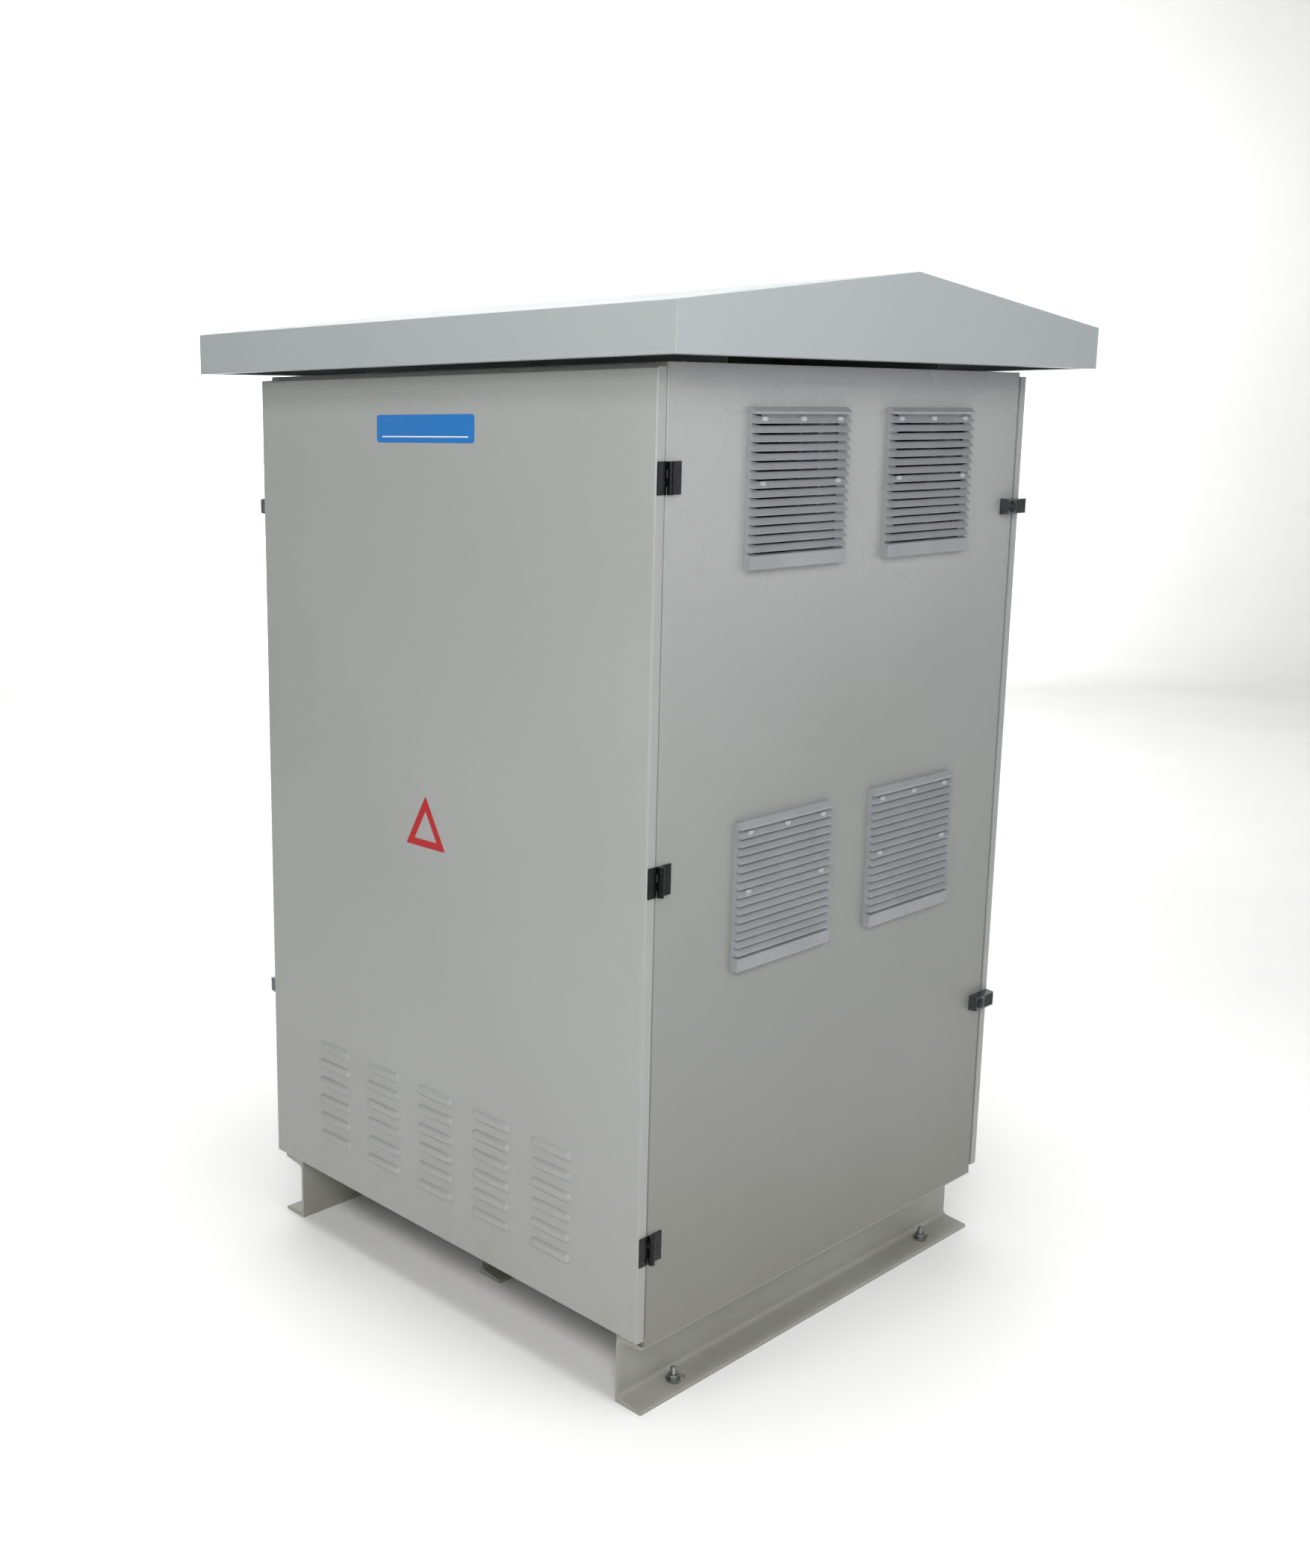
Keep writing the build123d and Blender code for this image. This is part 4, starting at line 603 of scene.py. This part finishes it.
lockLook = {"rim": 0.0012, "bevel": 0.0004, "groove": 0.0006, "slot": (0.0016, 0.0080), "slotCorner": 0.0007,
            "slotDepth": 0.0003, "slotProud": 0.0001}
rim, bevel, groove = (lockLook[key] for key in ("rim", "bevel", "groove"))
for place, sign in (("front", -1), ("rear", 1)):
    for level in ("lower", "upper"):
        lo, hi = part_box(f"{place}_{level}_lock_barrel")
        centre = ((lo.x + hi.x) / 2, (lo.y + hi.y) / 2, (lo.z + hi.z) / 2)
        face = hi.x if sign > 0 else -lo.x
        radius = (hi.y - lo.y) / 2
        # an eased rim, then a shallow ring groove about half way in
        profile = np.array([(radius, abs(lo.x if sign > 0 else hi.x)), (radius, face - rim),
                            (radius - bevel, face - bevel), (radius - rim, face), (radius * 0.62, face),
                            (radius * 0.58, face - groove), (radius * 0.50, face - groove), (radius * 0.46, face),
                            (rim, face)])
        profile[:, 1] -= abs(centre[0])
        sheet = turnedSheet(profile, centre, (sign, 0, 0), 64)
        mesh = surfaceMesh(f"{place}_{level}_key_face", [sheet])
        hardEdges(mesh, 40)
        piece = linkPiece(f"{place}_{level}_key_face", mesh, "darkNickelPlate", f"{place}_{level}_barrel",
                          smooth=False)
        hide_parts(f"{place}_{level}_lock_barrel")
        outline = roundedOutline(*lockLook["slot"], lockLook["slotCorner"], 5)
        x0 = sign * (face + lockLook["slotProud"])
        rows = [np.stack([np.full(len(outline), x), centre[1] + outline[:, 0], centre[2] + outline[:, 1]], 1)
                for x in (x0 - sign * lockLook["slotDepth"], x0)]
        mesh = surfaceMesh(f"{place}_{level}_key_slot", [(np.stack(rows), False, True, True, True)])
        linkPiece(f"{place}_{level}_key_slot", mesh, "blackToggle", f"{place}_{level}_barrel",
                  smooth=False)
print("lock faces made")


# vent clips, and the strip that closes the first gap under each hood

clipLook = {"size": (0.0060, 0.0130, 0.0075), "square": 0.45, "spread": 0.100, "out": 0.0118, "drop": 0.0075,
            "slotsDown": 7, "hood": 0.0115, "pitch": 0.01435, "strip": (0.0016, 0.2080, 0.0042), "stripSquare": 0.15,
            "stripOut": 0.007, "stripDrop": 0.0018}


def roundedBlock(centre, size, square, rows=16, columns=32):
    # superellipsoid: centre + size / 2 * (c(v) c(u), c(v) s(u), s(v)), where c and s are cos and sin raised to the
    # power "square" with their sign kept, so a small power gives flat sides and rounded edges
    v = np.linspace(-np.pi / 2, np.pi / 2, rows)[1:-1, None]
    u = np.linspace(0, 2 * np.pi, columns, endpoint=False)[None, :]
    power = lambda value: np.sign(value) * np.abs(value) ** square
    x, y, z = power(np.cos(v)) * power(np.cos(u)), power(np.cos(v)) * power(np.sin(u)), power(np.sin(v)) + 0 * u
    return np.asarray(centre) + np.stack([x, y, z], -1) * np.asarray(size) / 2, False, True, True, True


for side, sign in (("right", 1), ("left", -1)):
    clips, strips = [], []
    for lo, hi in solidBoxes(f"{side}_grilles"):
        wall = lo[0] if sign > 0 else hi[0]
        middle = (lo[1] + hi[1]) / 2
        first = hi[2] - clipLook["hood"]
        strips.append(roundedBlock((wall + sign * clipLook["stripOut"], middle, first - clipLook["stripDrop"]),
                                   clipLook["strip"], clipLook["stripSquare"]))
        top = first - clipLook["drop"]
        for z, spots in ((top, (-1, 0, 1)), (top - clipLook["slotsDown"] * clipLook["pitch"], (-1, 1))):
            clips += [roundedBlock((wall + sign * clipLook["out"], middle + spot * clipLook["spread"], z),
                                   clipLook["size"], clipLook["square"]) for spot in spots]
    mesh = surfaceMesh(f"{side}_vent_clips", clips)
    linkPiece(f"{side}_vent_clips", mesh, "paleAbsClip", "cabinet")
    mesh = surfaceMesh(f"{side}_vent_strips", strips)
    hardEdges(mesh, 40)
    linkPiece(f"{side}_vent_strips", mesh, "greyAbsGrille", "cabinet", smooth=False)
print("vent clips made")


# black ribbed slabs on the outward faces of the locks: a painted reflection, standing in for the dark room mirrored
# in the chrome there

darkReflectionLook = {"size": (0.0300, 0.0240), "ribs": 9, "rib": 0.0005, "proud": 0.0006, "rim": 0.08, "offset": 0.0455,
             "inset": 0.001, "bite": 0.0004, "depth": 0.0008}
for place, sign in (("front", -1), ("rear", 1)):
    darkReflectionSlabs = []
    for lo, hi in solidBoxes(f"{place}_lock_housings"):
        face = (hi[0] - darkReflectionLook["inset"]) if sign > 0 else (lo[0] + darkReflectionLook["inset"])
        start = lo[1] if sign > 0 else hi[1]
        y0, z0 = start + sign * darkReflectionLook["offset"], (lo[2] + hi[2]) / 2
        # height over the face = proud + rib * (1 + cos of the rib phase) / 2 inside, falling to 0 at the rim
        grid = np.stack(np.meshgrid(np.linspace(-1, 1, 25), np.linspace(-1, 1, 73), indexing="ij"), -1)
        y, z = grid[..., 1] * darkReflectionLook["size"][0] / 2, grid[..., 0] * darkReflectionLook["size"][1] / 2
        edge = np.minimum(1.0, np.minimum(1 - np.abs(grid[..., 0]), 1 - np.abs(grid[..., 1])) / darkReflectionLook["rim"])
        rib = darkReflectionLook["rib"] * 0.5 * (1 + np.cos(grid[..., 1] * np.pi * darkReflectionLook["ribs"]))
        x = face + sign * ((darkReflectionLook["proud"] + rib) * np.sqrt(np.clip(edge, 0, 1)) - darkReflectionLook["bite"])
        top = np.stack([x, y0 + y, z0 + z], -1)
        darkReflectionSlabs.append((top, False, False, False, False))
        # the wall follows the sheet's border down to a flat back
        border = np.concatenate([top[0], top[1:, -1], top[-1, -2::-1], top[-2:0:-1, 0]])
        under = border.copy()
        under[:, 0] = face - sign * darkReflectionLook["depth"]
        darkReflectionSlabs.append((np.stack([border, under]), False, True, False, True))
    mesh = surfaceMesh(f"{place}_lock_dark_reflection", darkReflectionSlabs)
    hardEdges(mesh, 50)
    linkPiece(f"{place}_lock_dark_reflection", mesh, "blackToggle", "cabinet", smooth=False)
print("lock inlays made")


# fans: twisted blades on a moulded hub

fanLook = {"blades": 7, "hub": 0.040, "tip": 0.099, "chord": 0.060, "thick": 0.0022, "rootPitch": 46.0,
           "tipPitch": 26.0, "camber": 0.006, "sweep": 14.0}


def fanBlade(centre, axis, turn):
    # along the span s from hub to tip: pitch eases from root to tip, chord carries a parabolic camber,
    # and each chord line is wrapped round the shaft at its own radius, swept back by s squared
    along, u, v = axes(axis)
    span = np.linspace(0.0, 1.0, 14)[:, None]
    loop = np.linspace(0.0, 2 * np.pi, 28, endpoint=False)[None, :]
    radius = fanLook["hub"] * 0.97 + (fanLook["tip"] - fanLook["hub"] * 0.97) * span
    pitch = np.radians(fanLook["rootPitch"] + (fanLook["tipPitch"] - fanLook["rootPitch"]) * span)
    chord = fanLook["chord"] * (0.80 + 0.25 * span) * np.sqrt(np.clip(1.02 - span ** 10, 0.05, 1.0))
    c = 0.5 * np.cos(loop)
    thick = fanLook["thick"] * np.sin(loop) * 0.5 * (1.0 - 0.7 * np.abs(2 * c))
    camber = fanLook["camber"] * (1.0 - 4 * c ** 2)
    tangential = chord * c * np.cos(pitch) - (camber + thick) * np.sin(pitch)
    axial = chord * c * np.sin(pitch) + (camber + thick) * np.cos(pitch)
    angle = turn + tangential / radius + np.radians(fanLook["sweep"]) * span ** 2
    ring = np.cos(angle)[..., None] * u + np.sin(angle)[..., None] * v
    points = np.asarray(centre) + ring * (radius + 0 * loop)[..., None] + along * axial[..., None]
    return points, False, True, True, True


for side, sign in (("right", 1), ("left", -1)):
    for place in ("front", "rear"):
        name = f"{side}_{place}_fan"
        lo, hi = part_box(name + "_rotor")
        centre = ((lo.x + hi.x) / 2, (lo.y + hi.y) / 2, (lo.z + hi.z) / 2)
        half = (hi.x - lo.x) / 2
        # the hub's outline as (radius, height along the shaft)
        hub = np.array([(0.0405, -half), (0.0415, -half + 0.001), (0.0420, -half + 0.004), (0.0420, half - 0.010),
                        (0.0405, half - 0.004), (0.0370, half - 0.001), (0.0300, half), (0.0290, half - 0.0015),
                        (0.0180, half - 0.0015), (0.0170, half), (0.0045, half)])
        sheets = [turnedSheet(hub, centre, (sign, 0, 0), 56)]
        sheets += [fanBlade(centre, (sign, 0, 0), 2 * np.pi * k / fanLook["blades"]) for k in range(fanLook["blades"])]
        mesh = surfaceMesh(name + "_impeller", sheets)
        hardEdges(mesh, 50)
        piece = linkPiece(name + "_impeller", mesh, "blackNylon", name, smooth=False)
        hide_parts(name + "_rotor")
print("fan impellers made")


# transformer windings

coilLook = {"rows": 281, "wirePitch": 0.0065, "ridge": 0.0011, "tape": 0.022, "tapeDip": 0.0002, "corner": 0.022,
            "hole": (0.094, 0.124), "holeCorner": 0.002}
coilSheets = []
for lo, hi in solidBoxes("transformer_coils"):
    # the outline grows and shrinks with |cos| of the height, one ridge for each turn of strip
    heights = np.linspace(lo[2], hi[2], coilLook["rows"])
    turn = np.abs(np.cos(np.pi * (heights - lo[2]) / coilLook["wirePitch"]))
    taped = np.minimum(heights - lo[2], hi[2] - heights) < coilLook["tape"]
    bulge = np.where(taped, -coilLook["tapeDip"], -coilLook["ridge"] * turn)
    outline = roundedOutline(hi[0] - lo[0], hi[1] - lo[1], coilLook["corner"])
    size = np.array([(hi[0] - lo[0]) / 2, (hi[1] - lo[1]) / 2])
    grow = 1.0 + bulge[:, None, None] / size
    ring = outline[None] * grow
    middle = (lo + hi) / 2
    outside = np.concatenate([middle[:2] + ring, np.repeat(heights[:, None, None], ring.shape[1], 1)], 2)
    hole = roundedOutline(*coilLook["hole"], coilLook["holeCorner"])
    walls = [np.concatenate([middle[:2] + hole, np.full((len(hole), 1), z)], 1)[None] for z in (hi[2], lo[2])]
    coilSheets.append((np.concatenate([outside, *walls]), True, True, False, False))
coilMesh = surfaceMesh("wound_coils", coilSheets)
hardEdges(coilMesh, 60)
piece = linkPiece("wound_coils", coilMesh, "amberVarnishedPaper", "cabinet", smooth=False)
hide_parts("transformer_coils")
print("windings made")


# floor, light and camera

stageLook = {"flat": 9.0, "bend": 3.0, "top": 7.0}
t = np.linspace(0, np.pi / 2, 14)
profile = [(r, 0.0) for r in np.linspace(0.02, stageLook["flat"], 12)]
profile += [(stageLook["flat"] + stageLook["bend"] * math.sin(a), stageLook["bend"] * (1 - math.cos(a))) for a in t[1:]]
profile += [(stageLook["flat"] + stageLook["bend"], stageLook["top"])]
points = turnedSheet(np.array(profile), (0, 0, 0), (0, 0, 1), 96)[0]
floorMesh = surfaceMesh("studioFloor", [(points, False, True, True, False)])
floorMesh.flip_normals()
floor = bpy.data.objects.new("studioFloor", floorMesh)
bpy.context.scene.collection.objects.link(floor)
floorMesh.polygons.foreach_set("use_smooth", np.ones(len(floorMesh.polygons), bool))
floorMesh.materials.append(finish["paleStudioFloor"])

lightLook = {
    "keyPanel": {"place": (2.0, -2.6, 2.2), "aim": (0.2, -0.2, 1.2), "size": (1.3, 1.0), "watts": 58.0,
                 "tint": "#fffefc"},
    "frontTop": {"place": (0.2, -4.4, 4.8), "aim": (0.0, -0.5, 0.4), "size": (1.8, 1.2), "watts": 68.0,
                 "tint": "#ffffff"},
    "rightTop": {"place": (3.6, -0.6, 3.6), "aim": (0.6, 0.0, 0.3), "size": (2.0, 2.0), "watts": 46.0,
                 "tint": "#ffffff"},
    "rightWall": {"place": (4.6, 3.4, 2.3), "aim": (0.5, 0.2, 2.2), "size": (4.5, 3.4), "watts": 60.0,
                  "tint": "#f3f7ff"},
    "leftFill": {"place": (-4.2, -3.4, 2.4), "aim": (0.0, 0.0, 1.0), "size": (3.0, 3.0), "watts": 11.0,
                 "tint": "#fffaf4"},
    "roofTop": {"place": (0.2, -0.2, 5.0), "aim": (0.0, 0.0, 0.0), "size": (2.2, 2.2), "watts": 40.0,
                "tint": "#ffffff", "spread": 80, "seen": False},
    "floorWash": {"place": (-3.4, 3.0, 4.6), "aim": (-5.4, 4.8, 0.0), "size": (6.0, 5.0), "watts": 380.0,
                  "tint": "#ffffff", "seen": False},
    "wallWash": {"place": (-5.4, 4.8, 3.2), "aim": (-9.2, 8.2, 2.8), "size": (5.0, 4.0), "watts": 340.0,
                 "tint": "#ffffff", "seen": False},
}
for name, look in lightLook.items():
    light = bpy.data.lights.new(name, "AREA")
    light.shape = "RECTANGLE"
    light.size, light.size_y = look["size"]
    light.energy = look["watts"]
    light.color = toLinear(look["tint"])[:3]
    lamp = bpy.data.objects.new(name, light)
    bpy.context.scene.collection.objects.link(lamp)
    lamp.location = look["place"]
    lamp.rotation_euler = (Vector(look["aim"]) - Vector(look["place"])).to_track_quat("-Z", "Y").to_euler()
    lamp.visible_camera = False
    lamp.visible_glossy = look.get("seen", True)
    light.spread = math.radians(look.get("spread", 180))

world = bpy.data.worlds.new("studioWorld")
bpy.context.scene.world = world
world.use_nodes = True
world.node_tree.nodes["Background"].inputs["Color"].default_value = toLinear("#f4f7fa")
world.node_tree.nodes["Background"].inputs["Strength"].default_value = 0.05
bpy.context.scene.view_settings.view_transform = "Standard"

cameraLook = {"place": (2.1422, -2.4090, 1.6376), "azimuth": -49.16, "down": 11.09, "roll": 0.24,
              "focal": 37.745, "shift": (0.1505, -0.0245)}
azimuth, down, roll = (math.radians(cameraLook[key]) for key in ("azimuth", "down", "roll"))
forward = Vector((math.cos(down) * math.sin(azimuth), math.cos(down) * math.cos(azimuth), -math.sin(down)))
right = Vector((math.cos(azimuth), -math.sin(azimuth), 0.0))
below = forward.cross(right)
tiltedRight = math.cos(roll) * right + math.sin(roll) * below
tiltedBelow = -math.sin(roll) * right + math.cos(roll) * below
cameraData = bpy.data.cameras.new("studioCamera")
cameraData.sensor_width = 36.0
cameraData.lens = cameraLook["focal"]
cameraData.shift_x, cameraData.shift_y = cameraLook["shift"]
cameraData.clip_end = 60.0
camera = bpy.data.objects.new("studioCamera", cameraData)
bpy.context.scene.collection.objects.link(camera)
turn = Matrix((tiltedRight, -tiltedBelow, -forward)).transposed()
camera.matrix_world = Matrix.Translation(cameraLook["place"]) @ turn.to_4x4()
bpy.context.scene.camera = camera
print("stage made")
